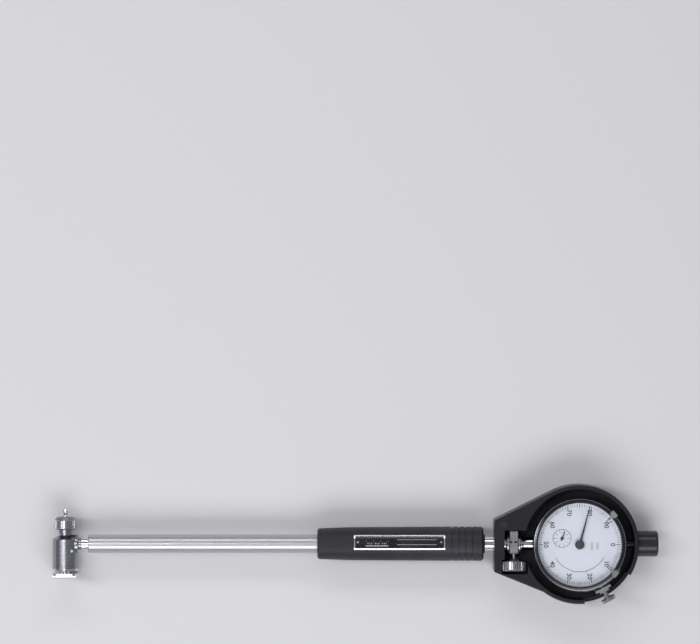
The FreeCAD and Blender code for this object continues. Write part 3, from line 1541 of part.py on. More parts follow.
def make_cover_shell():
    """Moulded cover: back wall, ring wall with a notch, front plates beside the neck."""
    body = new_body("cover_shell")
    extrude(body, outline(body, "XY_Plane", cover_plan()), "cover_height")
    soften(body, "0.9", rim_edge)
    inside = circles(body, "XY_Plane", "cover_radius - cover_wall", lift="cover_back")
    cut(body, inside, "cover_height", backwards=True)
    inner_neck = outline(
        body,
        "XY_Plane",
        [
            ("-block_front - 1", side_at("block_front + 1", False) + neck_wall(False)),
            ("-cover_radius * 0.5", side_at("cover_radius * 0.5", False) + neck_wall(False)),
            ("-cover_radius * 0.5", side_at("cover_radius * 0.5", True) + neck_wall(True)),
            ("-block_front - 1", side_at("block_front + 1", True) + neck_wall(True)),
        ],
        lift="cover_back",
    )
    cut(body, inner_neck, "cover_height - cover_back - cover_front", backwards=True)
    window = rectangle(
        body, "XY_Plane", "-cover_end", "-window_front", "-window_low", "window_high",
        lift="cover_back",
    )
    cut(body, window, "cover_height", backwards=True)
    end = rectangle(
        body, "XY_Plane", "-cover_end - 1", "-block_front", "-cover_radius", "cover_radius",
        lift="cover_back",
    )
    cut(body, end, "cover_height", backwards=True)
    reach = "cover_radius * 2"
    middle = "(notch_start + notch_end) / 2"
    notch = outline(
        body,
        "XY_Plane",
        [("0", "0"), polar(reach, "notch_end"), polar(reach, middle),
         polar(reach, "notch_start")],
        lift="notch_floor",
    )
    cut(body, notch, "cover_height", backwards=True)
    seat = circles(
        body, "YZ_Plane", "cap_radius", [("0", "axis_height")], lift="cover_radius - cover_wall"
    )
    extrude(body, seat, "cover_wall + 0.5")
    socket = circles(
        body, "YZ_Plane", "cap_spigot_radius + seat_gap", [("0", "axis_height")],
        lift="cover_radius",
    )
    cut(body, socket, "cover_wall * 4", symmetric=True)
    screw_ways = circles(
        body, "XY_Plane", "cover_screw_radius + seat_gap", back_screw_spots(), lift="0"
    )
    cut(body, screw_ways, "cover_back * 2", symmetric=True)
    heads = circles(body, "XY_Plane", "cover_screw_head + seat_gap", back_screw_spots())
    cut(body, heads, "1.2", backwards=True)
    return keep(body)


def back_screw_spots():
    return [("-block_wall - 3", "7.5"), ("-block_wall - 3", "-7.5")]


def rim_edge(edge):
    """The cover's outer top edges, apart from the straight end that meets the grip."""
    on_top = all(abs(v.Z - value("cover_height")) < 1e-3 for v in edge.Vertexes)
    at_end = abs(edge.CenterOfMass.x + value("cover_end")) < 1e-3
    return on_top and not at_end


def make_cover_end_block():
    """Block that carries the cover on the shaft, open over the collar and thumb screw."""
    body = new_body("cover_end_block")
    front = "block_front + 2 * face_gap"
    plan = [
        ("-cover_end", "-neck_low"),
        ("-" + f"({front})", side_at(front, False)),
        ("-" + f"({front})", side_at(front, True)),
        ("-cover_end", "neck_high"),
    ]
    lift = "cover_back + face_gap"
    extrude(body, outline(body, "XY_Plane", plan, lift=lift), f"cover_height - ({lift})")
    window = rectangle(
        body, "XY_Plane", "-block_wall", "0", "-window_low", "window_high",
        lift="cover_back - 1",
    )
    cut(body, window, "cover_height", backwards=True)
    shaft_way = circles(
        body, "YZ_Plane", "shaft_radius + seat_gap", [("0", "axis_height")], lift="-cover_end"
    )
    cut(body, shaft_way, "cover_end", symmetric=True)
    # the thumb screw's head is turned about the tube with the collar
    thumb_middle = "(screw_head_start + screw_head_end) / 2"
    thumb_up = (
        "axis_height + screw_height * cos(tube_roll * 1 deg)"
        f" - {thumb_middle} * sin(tube_roll * 1 deg)"
    )
    thumb_along = (
        "-screw_height * sin(tube_roll * 1 deg)"
        f" - {thumb_middle} * cos(tube_roll * 1 deg)"
    )
    thumb_room = circles(
        body, "XZ_Plane", "screw_head_radius + 0.7",
        [(COLLAR_MIDDLE, thumb_up)],
        lift=thumb_along,
    )
    cut(body, thumb_room, "screw_head_end - screw_head_start + 2.6", symmetric=True)
    screw_spot = [("-cover_screw_x", "cover_screw_y")]
    hole = circles(
        body, "XY_Plane", "cover_screw_radius + seat_gap", screw_spot, lift="cover_height"
    )
    cut(body, hole, "14")
    head = circles(
        body, "XY_Plane", "cover_screw_head + seat_gap", screw_spot, lift="cover_height"
    )
    cut(body, head, "1.8")
    back_holes = circles(
        body, "XY_Plane", "cover_screw_radius + seat_gap", back_screw_spots(), lift=lift
    )
    cut(body, back_holes, "4", backwards=True)
    return keep(body)


def cross_head_screw(name, across, along, top, length, downwards=True):
    """A pan-head screw with a cross recess; top is the height of its head's face."""
    way = -Z_AXIS if downwards else Z_AXIS
    head = cylinder(name + "_head", "cover_screw_head", "1.1", way, across, along, top)
    shank = cylinder(name + "_shank", "cover_screw_radius", length, way, across, along, top)
    bars = [
        box(name + "_bar", size[0], size[1], "1.4", across, along, f"{top} - 0.7")
        for size in (("2.8", "0.6"), ("0.6", "2.8"))
    ]
    return trimmed(name, joined(name + "_blank", head, shank), *bars)


def make_cover_screws():
    front = cross_head_screw(
        "cover_screw_front", "-cover_screw_x", "cover_screw_y", "cover_height - 0.65", "13"
    )
    backs = [
        cross_head_screw("cover_screw_back", across, along, "0.08", "5.5", downwards=False)
        for across, along in back_screw_spots()
    ]
    return keep(grouped("cover_screws", front, *backs))


def make_end_cap():
    """Cap screwed into the cover over the far end of the plunger."""
    inside = "cover_radius - cover_wall"
    seat = "cover_radius + 0.5 + face_gap"
    floor = "cap_end - 2"
    profile = [
        (inside, "cap_bore_radius"),
        (inside, "cap_spigot_radius"),
        (seat, "cap_spigot_radius"),
        (seat, "cap_radius"),
        ("cap_end - 1.6", "cap_radius"),
        ("cap_end", "cap_radius - 1.6", "1.6", "right"),
        ("cap_end", "0"),
        (floor, "0"),
        (floor, "cap_bore_radius"),
    ]
    return keep(turned_on_tube("end_cap", profile))


# ---------------------------------------------------------------- the whole gauge


def check_document():
    """Stop if any object failed to build."""
    failed = [
        thing.Label
        for thing in doc.Objects
        if {"Invalid", "Error"} & set(thing.State)
    ]
    broken = [p.Label for p in KEPT if p.Shape.isNull() or not p.Shape.isValid()]
    if failed or broken:
        raise ValueError(f"failed objects: {failed}; broken shapes: {broken}")


def write_parts():
    os.makedirs("parts", exist_ok=True)
    for piece in KEPT:
        piece.Shape.exportStep(f"parts/{piece.Label}.step")
        print(f"{piece.Label:18s} {len(piece.Shape.Solids)} solid(s), {piece.Shape.Volume:9.1f} mm3")


make_head_body()
make_head_end_bush()
make_contact_spindle()
make_contact_ball()
make_anvil()
make_clamp_nut()
make_bell_crank()
make_crank_pin()
make_guide_bridge()
make_guide_pins()
make_lock_ring()
make_tube()
make_push_rod()
make_rod_bushes()
make_grip()
make_label_plate()
make_label_pins()
make_upper_shaft()
make_clamp_collar()
make_collar_screw()
make_case()
make_case_back()
make_back_screws()
make_stem()
make_rear_bush()
make_plunger()
make_plunger_tip()
make_counter_arbor()
make_centre_arbor()
make_movement_plates()
make_dial()
make_bezel()
make_crystal()
make_main_hand()
make_small_hand()
make_limit_marker("limit_marker_high", "marker_angle_high")
make_limit_marker("limit_marker_low", "marker_angle_low")
make_lock_bracket()
make_lock_screw()
make_cover_shell()
make_cover_end_block()
make_cover_screws()
make_end_cap()
doc.recompute()
check_document()
write_parts()
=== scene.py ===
# %% [markdown]
# A dial bore gauge, lying on its back with the dial facing up. It is a long instrument: a
# small measuring head at one end, a steel tube, a black plastic grip, and a dial indicator
# held in a clear round opening of a moulded cover.
#
# The metal and plastic bodies come ready made from the CAD model. This script gives every
# one of them a finish, prints the dial and the label, adds the finest surface detail, and
# lights the gauge on a pale bench.

# %% Load the frame
import json
import math

import bpy
import numpy as np
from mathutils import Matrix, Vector


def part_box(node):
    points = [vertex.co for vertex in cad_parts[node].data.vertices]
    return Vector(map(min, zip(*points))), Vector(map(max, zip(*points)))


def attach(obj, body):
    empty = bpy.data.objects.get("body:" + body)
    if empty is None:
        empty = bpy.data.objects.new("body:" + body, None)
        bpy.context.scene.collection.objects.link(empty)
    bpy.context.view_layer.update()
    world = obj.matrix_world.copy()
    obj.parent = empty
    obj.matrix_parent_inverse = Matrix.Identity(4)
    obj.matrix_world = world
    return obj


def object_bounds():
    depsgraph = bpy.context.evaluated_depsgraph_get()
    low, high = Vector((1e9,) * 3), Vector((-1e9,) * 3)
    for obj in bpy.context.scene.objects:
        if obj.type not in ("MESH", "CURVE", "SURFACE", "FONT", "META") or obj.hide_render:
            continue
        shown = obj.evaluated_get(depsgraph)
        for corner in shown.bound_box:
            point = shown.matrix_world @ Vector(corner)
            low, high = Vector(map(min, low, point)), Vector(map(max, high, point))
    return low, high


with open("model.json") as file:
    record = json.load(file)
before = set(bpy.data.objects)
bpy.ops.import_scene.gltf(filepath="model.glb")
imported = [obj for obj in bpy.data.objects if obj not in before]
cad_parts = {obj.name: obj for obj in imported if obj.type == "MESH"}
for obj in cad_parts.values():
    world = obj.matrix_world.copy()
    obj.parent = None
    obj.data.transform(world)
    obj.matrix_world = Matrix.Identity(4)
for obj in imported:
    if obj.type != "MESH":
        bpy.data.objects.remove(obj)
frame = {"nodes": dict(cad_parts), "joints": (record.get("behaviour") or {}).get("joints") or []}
nodes = frame["nodes"]
cad_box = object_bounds()
MM = 0.001
print("loaded", len(nodes), "CAD nodes; the model's box is", cad_box)

# %% [markdown]
# The few places that the new pieces need are read from the CAD nodes' own boxes, so the
# print stays on the dial if the model changes. The dial's axis is the Z axis, and the tube
# runs along X at the height of the crank pin's middle.

# %% Places
def edge(node, axis, end):
    """The lowest (end 0) or highest (end 1) coordinate of a CAD node along one axis."""
    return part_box(node)[end]["xyz".index(axis)]


dial_face = edge("dial_centre", "z", 1)
split_radius = edge("dial_centre", "x", 1)
scale_radius = edge("dial_ring", "x", 1)
tube_height = (edge("end_cap", "z", 0) + edge("end_cap", "z", 1)) / 2
head_x = (edge("clamp_nut", "x", 0) + edge("clamp_nut", "x", 1)) / 2
print(f"dial face {dial_face / MM:.2f} mm up, head at x = {head_x / MM:.1f} mm")

# %% [markdown]
# Materials are built from small parts. `put` adds one shader node and fills its inputs: a
# value is typed in, and another node's output is wired in. `finish` starts a material and
# sets what is the same all over the surface on the shader itself.

# %% Shader helpers
def put(tree, kind, inputs=None, **settings):
    """Add a shader node. inputs maps an input's name or number to a value or an output."""
    node = tree.nodes.new("ShaderNode" + kind)
    for name, value in settings.items():
        setattr(node, name, value)
    for name, value in (inputs or {}).items():
        if isinstance(value, bpy.types.NodeSocket):
            tree.links.new(value, node.inputs[name])
        else:
            node.inputs[name].default_value = value
    return node


def math_node(tree, operation, *values):
    """The result of one Math node on one, two or three values."""
    return put(tree, "Math", dict(enumerate(values)), operation=operation).outputs[0]


def mix_colors(tree, factor, first, second):
    """A colour that goes from first to second as factor goes from 0 to 1."""
    node = put(tree, "Mix", data_type="RGBA")
    for socket, value in zip((0, 6, 7), (factor, first, second)):
        if isinstance(value, bpy.types.NodeSocket):
            tree.links.new(value, node.inputs[socket])
        elif socket == 0:
            node.inputs[0].default_value = value
        else:
            node.inputs[socket].default_value = (*value, 1)
    return node.outputs[2]


def between(tree, value, low, high, start=0.0, end=1.0):
    """The value's range low to high, stretched to start to end and held there."""
    ranges = {"From Min": low, "From Max": high, "To Min": start, "To Max": end}
    return put(tree, "MapRange", {"Value": value, **ranges}).outputs[0]


def finish(name, color, **sockets):
    """A material with one Principled shader. Returns the material, its tree and its shader."""
    material = bpy.data.materials.new(name)
    material.use_nodes = True
    tree = material.node_tree
    shader = tree.nodes["Principled BSDF"]
    shader.inputs["Base Color"].default_value = (*color, 1)
    for socket, value in sockets.items():
        shader.inputs[socket.replace("_", " ")].default_value = value
    material.diffuse_color = (*color, 1)
    return material, tree, shader


def feed(tree, shader, **wires):
    """Wire varying colours and values into the shader's inputs."""
    for socket, output in wires.items():
        tree.links.new(output, shader.inputs[socket.replace("_", " ")])


# %% [markdown]
# Real metal and plastic differ mostly in their smallest marks. Three effects cover this
# gauge, and each is a node group, so every material can place it with its own values.
#
# - `ground_lines`: the fine parallel lines that a grinding wheel or lathe leaves. A noise
#   is stretched until it is a bundle of lines.
# - `spark_texture`: the sandy skin of a plastic mould that was spark eroded.
# - `handling_haze`: soft patches where hands and cloths have dulled the surface.

# %% Start a node group
def start_group(name, inputs, outputs):
    """An empty node group with float or vector inputs and named outputs."""
    group = bpy.data.node_groups.new(name, "ShaderNodeTree")
    for label, kind, default in inputs:
        socket = group.interface.new_socket(label, in_out="INPUT", socket_type=kind)
        socket.default_value = default
    for label, kind in outputs:
        group.interface.new_socket(label, in_out="OUTPUT", socket_type=kind)
    return group, group.nodes.new("NodeGroupInput"), group.nodes.new("NodeGroupOutput")


FLOAT, VECTOR, COLOR = "NodeSocketFloat", "NodeSocketVector", "NodeSocketColor"


def place_group(tree, group, inputs):
    """Place a node group in a material and fill its inputs."""
    node = tree.nodes.new("ShaderNodeGroup")
    node.node_tree = group
    for name, value in inputs.items():
        if isinstance(value, bpy.types.NodeSocket):
            tree.links.new(value, node.inputs[name])
        else:
            node.inputs[name].default_value = value
    return node.outputs


def here(tree):
    """Object coordinates: the place of the shaded point on the gauge, in metres."""
    return put(tree, "TexCoord").outputs["Object"]


# %% Ground lines
ground_lines, inside, outside = start_group(
    "ground_lines",
    [("Vector", VECTOR, (0, 0, 0)), ("Lines", VECTOR, (4000, 60, 60))],
    [("Value", FLOAT), ("Normal", VECTOR)],
)
stretched = put(
    ground_lines, "VectorMath",
    {0: inside.outputs["Vector"], 1: inside.outputs["Lines"]}, operation="MULTIPLY",
)
lines = put(
    ground_lines, "TexNoise",
    {"Vector": stretched.outputs[0], "Scale": 1.0, "Detail": 3.0, "Roughness": 0.6},
)
relief = put(
    ground_lines, "Bump", {"Strength": 0.12, "Distance": 0.00002, "Height": lines.outputs[0]}
)
ground_lines.links.new(lines.outputs[0], outside.inputs["Value"])
ground_lines.links.new(relief.outputs[0], outside.inputs["Normal"])
print("ground_lines has", len(ground_lines.nodes), "nodes")

# %% Spark texture
spark_texture, inside, outside = start_group(
    "spark_texture",
    [("Vector", VECTOR, (0, 0, 0)), ("Grain", FLOAT, 0.0005), ("Depth", FLOAT, 0.00004)],
    [("Value", FLOAT), ("Normal", VECTOR)],
)
fineness = math_node(spark_texture, "DIVIDE", 1.0, inside.outputs["Grain"])
cells = put(
    spark_texture, "TexVoronoi",
    {"Vector": inside.outputs["Vector"], "Scale": fineness}, feature="SMOOTH_F1",
)
sand = put(
    spark_texture, "TexNoise",
    {"Vector": inside.outputs["Vector"], "Scale": fineness, "Detail": 2.0, "Roughness": 0.7},
)
skin = math_node(spark_texture, "ADD", cells.outputs["Distance"], sand.outputs[0])
height = math_node(spark_texture, "MULTIPLY", skin, inside.outputs["Depth"])
relief = put(
    spark_texture, "Bump", {"Strength": 1.0, "Distance": 1.0, "Height": height}
)
spark_texture.links.new(sand.outputs[0], outside.inputs["Value"])
spark_texture.links.new(relief.outputs[0], outside.inputs["Normal"])
print("spark_texture has", len(spark_texture.nodes), "nodes")

# %% Handling haze
handling_haze, inside, outside = start_group(
    "handling_haze",
    [("Vector", VECTOR, (0, 0, 0)), ("Patch", FLOAT, 0.02), ("Cover", FLOAT, 0.5)],
    [("Mask", FLOAT)],
)
patch_scale = math_node(handling_haze, "DIVIDE", 1.0, inside.outputs["Patch"])
clouds = put(
    handling_haze, "TexNoise",
    {"Vector": inside.outputs["Vector"], "Scale": patch_scale, "Detail": 5.0, "Distortion": 0.6},
)
threshold = math_node(handling_haze, "SUBTRACT", 1.0, inside.outputs["Cover"])
soft_low = math_node(handling_haze, "SUBTRACT", threshold, 0.16)
soft_high = math_node(handling_haze, "ADD", threshold, 0.16)
haze = between(handling_haze, clouds.outputs[0], soft_low, soft_high)
handling_haze.links.new(haze, outside.inputs["Mask"])
print("handling_haze has", len(handling_haze.nodes), "nodes")

# %% [markdown]
# The steel tube is ground between two wheels, which leaves fine rings round it and a
# satin shine. Its lines are drawn out along Y and Z and packed tightly along X. The bright
# fittings are chrome plated over the same ground steel, so their lines are fainter.

# %% Ground and plated steel
AROUND_X, AROUND_Y, AROUND_Z = (9000, 90, 90), (90, 9000, 90), (90, 90, 9000)


def steel(name, color, lines, shine, dulling, **sockets):
    """Metal whose roughness and colour follow its ground lines and its hazy patches."""
    material, tree, shader = finish(name, color, Metallic=1.0, Roughness=shine, **sockets)
    place = here(tree)
    ground = place_group(tree, ground_lines, {"Vector": place, "Lines": lines})
    haze = place_group(tree, handling_haze, {"Vector": place, "Patch": 0.018, "Cover": 0.45})
    roughness = math_node(tree, "MULTIPLY_ADD", ground["Value"], dulling, shine - dulling / 2)
    roughness = math_node(tree, "MULTIPLY_ADD", haze["Mask"], dulling * 0.6, roughness)
    dark = tuple(part * 0.86 for part in color)
    tint = between(tree, ground["Value"], 0.3, 0.7)
    feed(
        tree, shader,
        Base_Color=mix_colors(tree, tint, dark, color), Roughness=roughness,
        Normal=ground["Normal"],
    )
    return material


tube_steel = steel("tube_steel", (0.58, 0.58, 0.62), AROUND_X, 0.34, 0.16)
chrome_x = steel("chrome_turned_about_x", (0.80, 0.80, 0.83), AROUND_X, 0.10, 0.08)
chrome_y = steel("chrome_turned_about_y", (0.80, 0.80, 0.83), AROUND_Y, 0.10, 0.08)
head_satin = steel("satin_head", (0.36, 0.36, 0.40), AROUND_Y, 0.23, 0.12)
collar_steel = steel("collar_steel", (0.55, 0.55, 0.59), (2500, 2500, 120), 0.26, 0.14)
inner_steel = steel("inner_steel", (0.50, 0.50, 0.54), AROUND_X, 0.30, 0.12)
blued_steel = steel("blued_steel", (0.035, 0.035, 0.045), AROUND_X, 0.35, 0.10)
movement_brass = steel("movement_brass", (0.72, 0.53, 0.25), AROUND_Z, 0.28, 0.12)
ball_metal = steel("ball_metal", (0.62, 0.62, 0.66), (90, 90, 90), 0.07, 0.04)
clip_steel = steel("clip_steel", (0.60, 0.60, 0.64), (120, 120, 4000), 0.25, 0.14)

# %% [markdown]
# The nut and the two thumb screws are knurled. Their grooves are given a darker colour
# as painted shade, while the ridges keep the plain plated colour. How far a point is from
# the part's own axis tells the two apart, so the mask is that distance, stretched over the
# depth of the knurl.

# %% Knurled steel
def knurled(name, centre, axis, groove, ridge):
    """Plated steel that is dark below the groove radius, as painted shade in the grooves, and bright at
    the ridge radius.

    The distance from the axis is the length of the place after its part along the axis is
    taken away: |p - (p . a) a|.
    """
    color = (0.52, 0.52, 0.56)
    material, tree, shader = finish(name, color, Metallic=1.0, Roughness=0.25)
    place = here(tree)
    offset = put(tree, "VectorMath", {0: place, 1: centre}, operation="SUBTRACT").outputs[0]
    along = put(tree, "VectorMath", {0: offset, 1: axis}, operation="PROJECT").outputs[0]
    across = put(tree, "VectorMath", {0: offset, 1: along}, operation="SUBTRACT").outputs[0]
    distance = put(tree, "VectorMath", {0: across}, operation="LENGTH").outputs["Value"]
    # The darker groove colour is painted shade; only the handling haze is real dulling.
    bright = between(tree, distance, groove, ridge)
    grains = place_group(tree, spark_texture, {"Vector": place, "Grain": 0.0004, "Depth": 0.00001})
    haze = place_group(tree, handling_haze, {"Vector": place, "Patch": 0.006, "Cover": 0.4})
    unshaded_and_clean = math_node(tree, "SUBTRACT", bright, math_node(tree, "MULTIPLY", haze["Mask"], 0.2))
    feed(
        tree, shader,
        Base_Color=mix_colors(tree, unshaded_and_clean, (0.30, 0.30, 0.33), color),
        Roughness=between(tree, unshaded_and_clean, 0.0, 1.0, 0.46, 0.20),
        Normal=grains["Normal"],
    )
    return material


def middle(node):
    """The middle of a CAD node's box."""
    low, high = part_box(node)
    return tuple((low + high) / 2)


nut_radius = (edge("clamp_nut", "x", 1) - edge("clamp_nut", "x", 0)) / 2
nut_steel = knurled(
    "nut_steel", middle("clamp_nut"), (0, 1, 0), nut_radius - 0.45 * MM, nut_radius - 0.1 * MM
)
screw_axis = next(j["axis"] for j in frame["joints"] if j["name"] == "thumb_screw_turn")
screw_place = next(j["pos_m"] for j in frame["joints"] if j["name"] == "thumb_screw_turn")
lock_axis = next(j["axis"] for j in frame["joints"] if j["name"] == "lock_turn")
lock_place = next(j["pos_m"] for j in frame["joints"] if j["name"] == "lock_turn")
screw_radius = (edge("collar_screw", "x", 1) - edge("collar_screw", "x", 0)) / 2
screw_steel = knurled(
    "screw_steel", screw_place, screw_axis, screw_radius - 0.45 * MM, screw_radius - 0.1 * MM
)
knob_steel = knurled("knob_steel", lock_place, lock_axis, 4.2 * MM, 4.5 * MM)

# %% [markdown]
# Grip and cover are black moulded plastic. The grip has the coarser skin. On all three
# plastics single grains get a lighter colour, a painted glint for the lamp catching them,
# and the grip is greyer where hands have polished it. The end cap is smooth.

# %% Moulded plastics
def moulded(name, color, grain, depth, shine, worn_and_glint):
    """Plastic with a sandy relief. The worn colour is that of its rubbed patches and also of the
    painted glint on single grains.
    """
    material, tree, shader = finish(name, color, Roughness=shine, Specular_IOR_Level=0.36)
    place = here(tree)
    skin = place_group(
        tree, spark_texture, {"Vector": place, "Grain": grain, "Depth": depth}
    )
    haze = place_group(tree, handling_haze, {"Vector": place, "Patch": 0.03, "Cover": 0.5})
    # High grains of the skin get the lighter colour as a painted glint; the haze patches are real wear.
    grain_glint = between(tree, skin["Value"], 0.45, 0.75, 0.0, 0.7)
    wear_and_glint = math_node(tree, "MULTIPLY_ADD", haze["Mask"], 0.3, grain_glint)
    roughness = math_node(tree, "MULTIPLY_ADD", haze["Mask"], -0.10, shine + 0.05)
    feed(
        tree, shader,
        Base_Color=mix_colors(tree, wear_and_glint, color, worn_and_glint), Roughness=roughness,
        Normal=skin["Normal"],
    )
    return material


grip_plastic = moulded(
    "grip_plastic", (0.011, 0.010, 0.015), 0.00055, 0.00007, 0.46, (0.048, 0.045, 0.062)
)
cover_plastic = moulded(
    "cover_plastic", (0.006, 0.0055, 0.009), 0.00035, 0.000020, 0.38, (0.020, 0.019, 0.027)
)
cap_plastic = moulded(
    "cap_plastic", (0.018, 0.017, 0.022), 0.0009, 0.000006, 0.27, (0.034, 0.032, 0.042)
)

# %% [markdown]
# The bezel is painted black, but its front edge was turned after painting, which leaves
# a bright bare line round the window. A fainter bright ring near its outer edge is a
# painted highlight, half bare metal where the rounded edge would catch the lamp. The
# distance from the dial's axis picks out both lines.

# %% Painted metal
def painted(name, color, shine):
    """Satin paint with a faint orange-peel relief and dulled patches."""
    material, tree, shader = finish(name, color, Roughness=shine, Coat_Weight=0.25)
    shader.inputs["Coat Roughness"].default_value = 0.15
    place = here(tree)
    skin = place_group(
        tree, spark_texture, {"Vector": place, "Grain": 0.0012, "Depth": 0.000006}
    )
    haze = place_group(tree, handling_haze, {"Vector": place, "Patch": 0.012, "Cover": 0.4})
    lighter = tuple(part * 1.6 + 0.006 for part in color)
    feed(
        tree, shader,
        Base_Color=mix_colors(tree, haze["Mask"], color, lighter),
        Roughness=math_node(tree, "MULTIPLY_ADD", haze["Mask"], 0.10, shine),
        Normal=skin["Normal"],
    )
    return material, tree, shader


case_paint, _, _ = painted("case_paint", (0.020, 0.020, 0.024), 0.32)
hand_paint, _, _ = painted("hand_paint", (0.003, 0.003, 0.004), 0.5)
bezel_paint, tree, shader = painted("bezel_paint", (0.008, 0.008, 0.011), 0.18)
place = here(tree)
parts = put(tree, "SeparateXYZ", {0: place}).outputs
radius = math_node(
    tree, "SQRT",
    math_node(
        tree, "ADD",
        math_node(tree, "MULTIPLY", parts["X"], parts["X"]),
        math_node(tree, "MULTIPLY", parts["Y"], parts["Y"]),
    ),
)
window_edge = edge("crystal", "x", 1) - 0.35 * MM
# The thin ring near the outer edge is a painted highlight, half bare metal standing in for the lamp on
# the rounded edge.
highlight_radius = edge("bezel", "x", 1) - 0.85 * MM
inner_line = math_node(tree, "LESS_THAN", radius, window_edge)
outer_highlight = math_node(tree, "COMPARE", radius, highlight_radius, 0.11 * MM)
bare_and_highlight = math_node(tree, "MAXIMUM", inner_line, math_node(tree, "MULTIPLY", outer_highlight, 0.5))
paint_color = shader.inputs["Base Color"].links[0].from_socket
feed(
    tree, shader,
    Base_Color=mix_colors(tree, bare_and_highlight, paint_color, (0.55, 0.55, 0.60)),
    Metallic=bare_and_highlight,
)

# %% [markdown]
# The dial is sheet metal with a matt white coat, slightly blue. The crystal over it is
# clear plastic. Light has to reach the dial through it, so for shadow rays the glass is
# swapped for a plain transparent shader.

# %% Dial and crystal
dial_white, tree, shader = finish("dial_white", (0.47, 0.485, 0.535), Roughness=0.55)
place = here(tree)
skin = place_group(tree, spark_texture, {"Vector": place, "Grain": 0.0008, "Depth": 0.000004})
haze = place_group(tree, handling_haze, {"Vector": place, "Patch": 0.02, "Cover": 0.35})
feed(
    tree, shader,
    Base_Color=mix_colors(tree, haze["Mask"], (0.47, 0.485, 0.535), (0.45, 0.462, 0.512)),
    Normal=skin["Normal"],
)

crystal_clear, tree, shader = finish(
    "crystal_clear", (0.97, 0.98, 1.0), Transmission_Weight=1.0, IOR=1.49
)
place = here(tree)
haze = place_group(tree, handling_haze, {"Vector": place, "Patch": 0.01, "Cover": 0.3})
feed(tree, shader, Roughness=math_node(tree, "MULTIPLY_ADD", haze["Mask"], 0.02, 0.01))
clear = put(tree, "BsdfTransparent")
shadow_ray = put(tree, "LightPath").outputs["Is Shadow Ray"]
swap = put(tree, "MixShader", {0: shadow_ray, 1: shader.outputs[0], 2: clear.outputs[0]})
tree.links.new(swap.outputs[0], tree.nodes["Material Output"].inputs["Surface"])

# %% [markdown]
# The label is a thin black plate bent round the grip, with a bare metal border. It lies a
# little turned about the tube, so a Mapping node first turns its coordinates flat. The
# border is where a point is near either pair of edges.

# %% Label plate
ROLL = math.radians(-8)
BORDER = 0.75 * MM
label_middle = (edge("label_plate", "x", 0) + edge("label_plate", "x", 1)) / 2
label_half = (edge("label_plate", "x", 1) - edge("label_plate", "x", 0)) / 2
label_width = 9.0 * MM

label_black, tree, shader = finish("label_black", (0.008, 0.008, 0.010), Roughness=0.2)
flat = put(
    tree, "Mapping",
    {"Vector": here(tree), "Location": (-label_middle, 0, 0)},
)
lowered = put(tree, "Mapping", {"Vector": flat.outputs[0], "Location": (0, 0, -tube_height)})
turned = put(tree, "Mapping", {"Vector": lowered.outputs[0], "Rotation": (-ROLL, 0, 0)})
parts = put(tree, "SeparateXYZ", {0: turned.outputs[0]}).outputs
near_end = math_node(
    tree, "GREATER_THAN", math_node(tree, "ABSOLUTE", parts["X"]), label_half - BORDER
)
near_side = math_node(
    tree, "GREATER_THAN", math_node(tree, "ABSOLUTE", parts["Y"]), label_width / 2 - BORDER
)
border = math_node(tree, "MAXIMUM", near_end, near_side)
haze = place_group(tree, handling_haze, {"Vector": here(tree), "Patch": 0.012, "Cover": 0.4})
enamel = mix_colors(tree, haze["Mask"], (0.008, 0.008, 0.010), (0.020, 0.020, 0.024))
feed(
    tree, shader,
    Base_Color=mix_colors(tree, border, enamel, (0.72, 0.72, 0.76)),
    Metallic=border,
    Roughness=math_node(tree, "MULTIPLY_ADD", haze["Mask"], 0.1, 0.2),
)

# %% [markdown]
# Every CAD node now gets its finish. The table groups the nodes by finish, and the check
# at its end makes sure that none was forgotten.

# %% Finishes of the CAD nodes
FINISHES = [
    (head_satin, ["head_body", "crank_pin"]),
    (chrome_y, ["head_end_bush", "anvil", "contact_spindle", "guide_bridge"]),
    (chrome_x, ["lock_ring", "upper_shaft", "indicator_stem"]),
    (tube_steel, ["tube"]),
    (collar_steel, ["clamp_collar"]),
    (nut_steel, ["clamp_nut"]),
    (screw_steel, ["collar_screw"]),
    (knob_steel, ["lock_screw"]),
    (ball_metal, ["contact_ball"]),
    (clip_steel, ["lock_bracket", "limit_marker_high", "limit_marker_low"]),
    (inner_steel, ["bell_crank", "guide_pins", "push_rod", "plunger_tip", "label_pins",
                   "centre_arbor"]),
    (blued_steel, ["plunger", "rear_bush"]),
    (movement_brass, ["rod_bushes", "counter_arbor", "lower_plate", "upper_plate",
                      "plate_pillars"]),
    (grip_plastic, ["grip"]),
    (cover_plastic, ["cover_shell", "cover_end_block"]),
    (cap_plastic, ["end_cap"]),
    (case_paint, ["indicator_case", "case_back", "back_screws", "cover_screws"]),
    (bezel_paint, ["bezel"]),
    (hand_paint, ["main_hand", "small_hand"]),
    (dial_white, ["dial_centre", "dial_ring"]),
    (crystal_clear, ["crystal"]),
    (label_black, ["label_plate"]),
]
for material, names in FINISHES:
    for name in names:
        nodes[name].data.materials.clear()
        nodes[name].data.materials.append(material)
finished = {name for _, names in FINISHES for name in names}
print("nodes without a finish:", sorted(set(nodes) - finished))

# %% [markdown]
# Printing on a dial is a film of ink. Here each mark is a closed slab about as thick as a
# hair, lying just above the dial, so it shows sharply from any distance. All the marks of
# one print become one mesh, built as arrays.

# %% Make a piece from arrays
ink_black, _, _ = painted("ink_black", (0.012, 0.012, 0.016), 0.5)
ink_white, tree, shader = finish("ink_white", (0.72, 0.74, 0.80), Roughness=0.5)
haze = place_group(tree, handling_haze, {"Vector": here(tree), "Patch": 0.004, "Cover": 0.3})
feed(tree, shader, Base_Color=mix_colors(tree, haze["Mask"], (0.72, 0.74, 0.80), (0.6, 0.62, 0.68)))


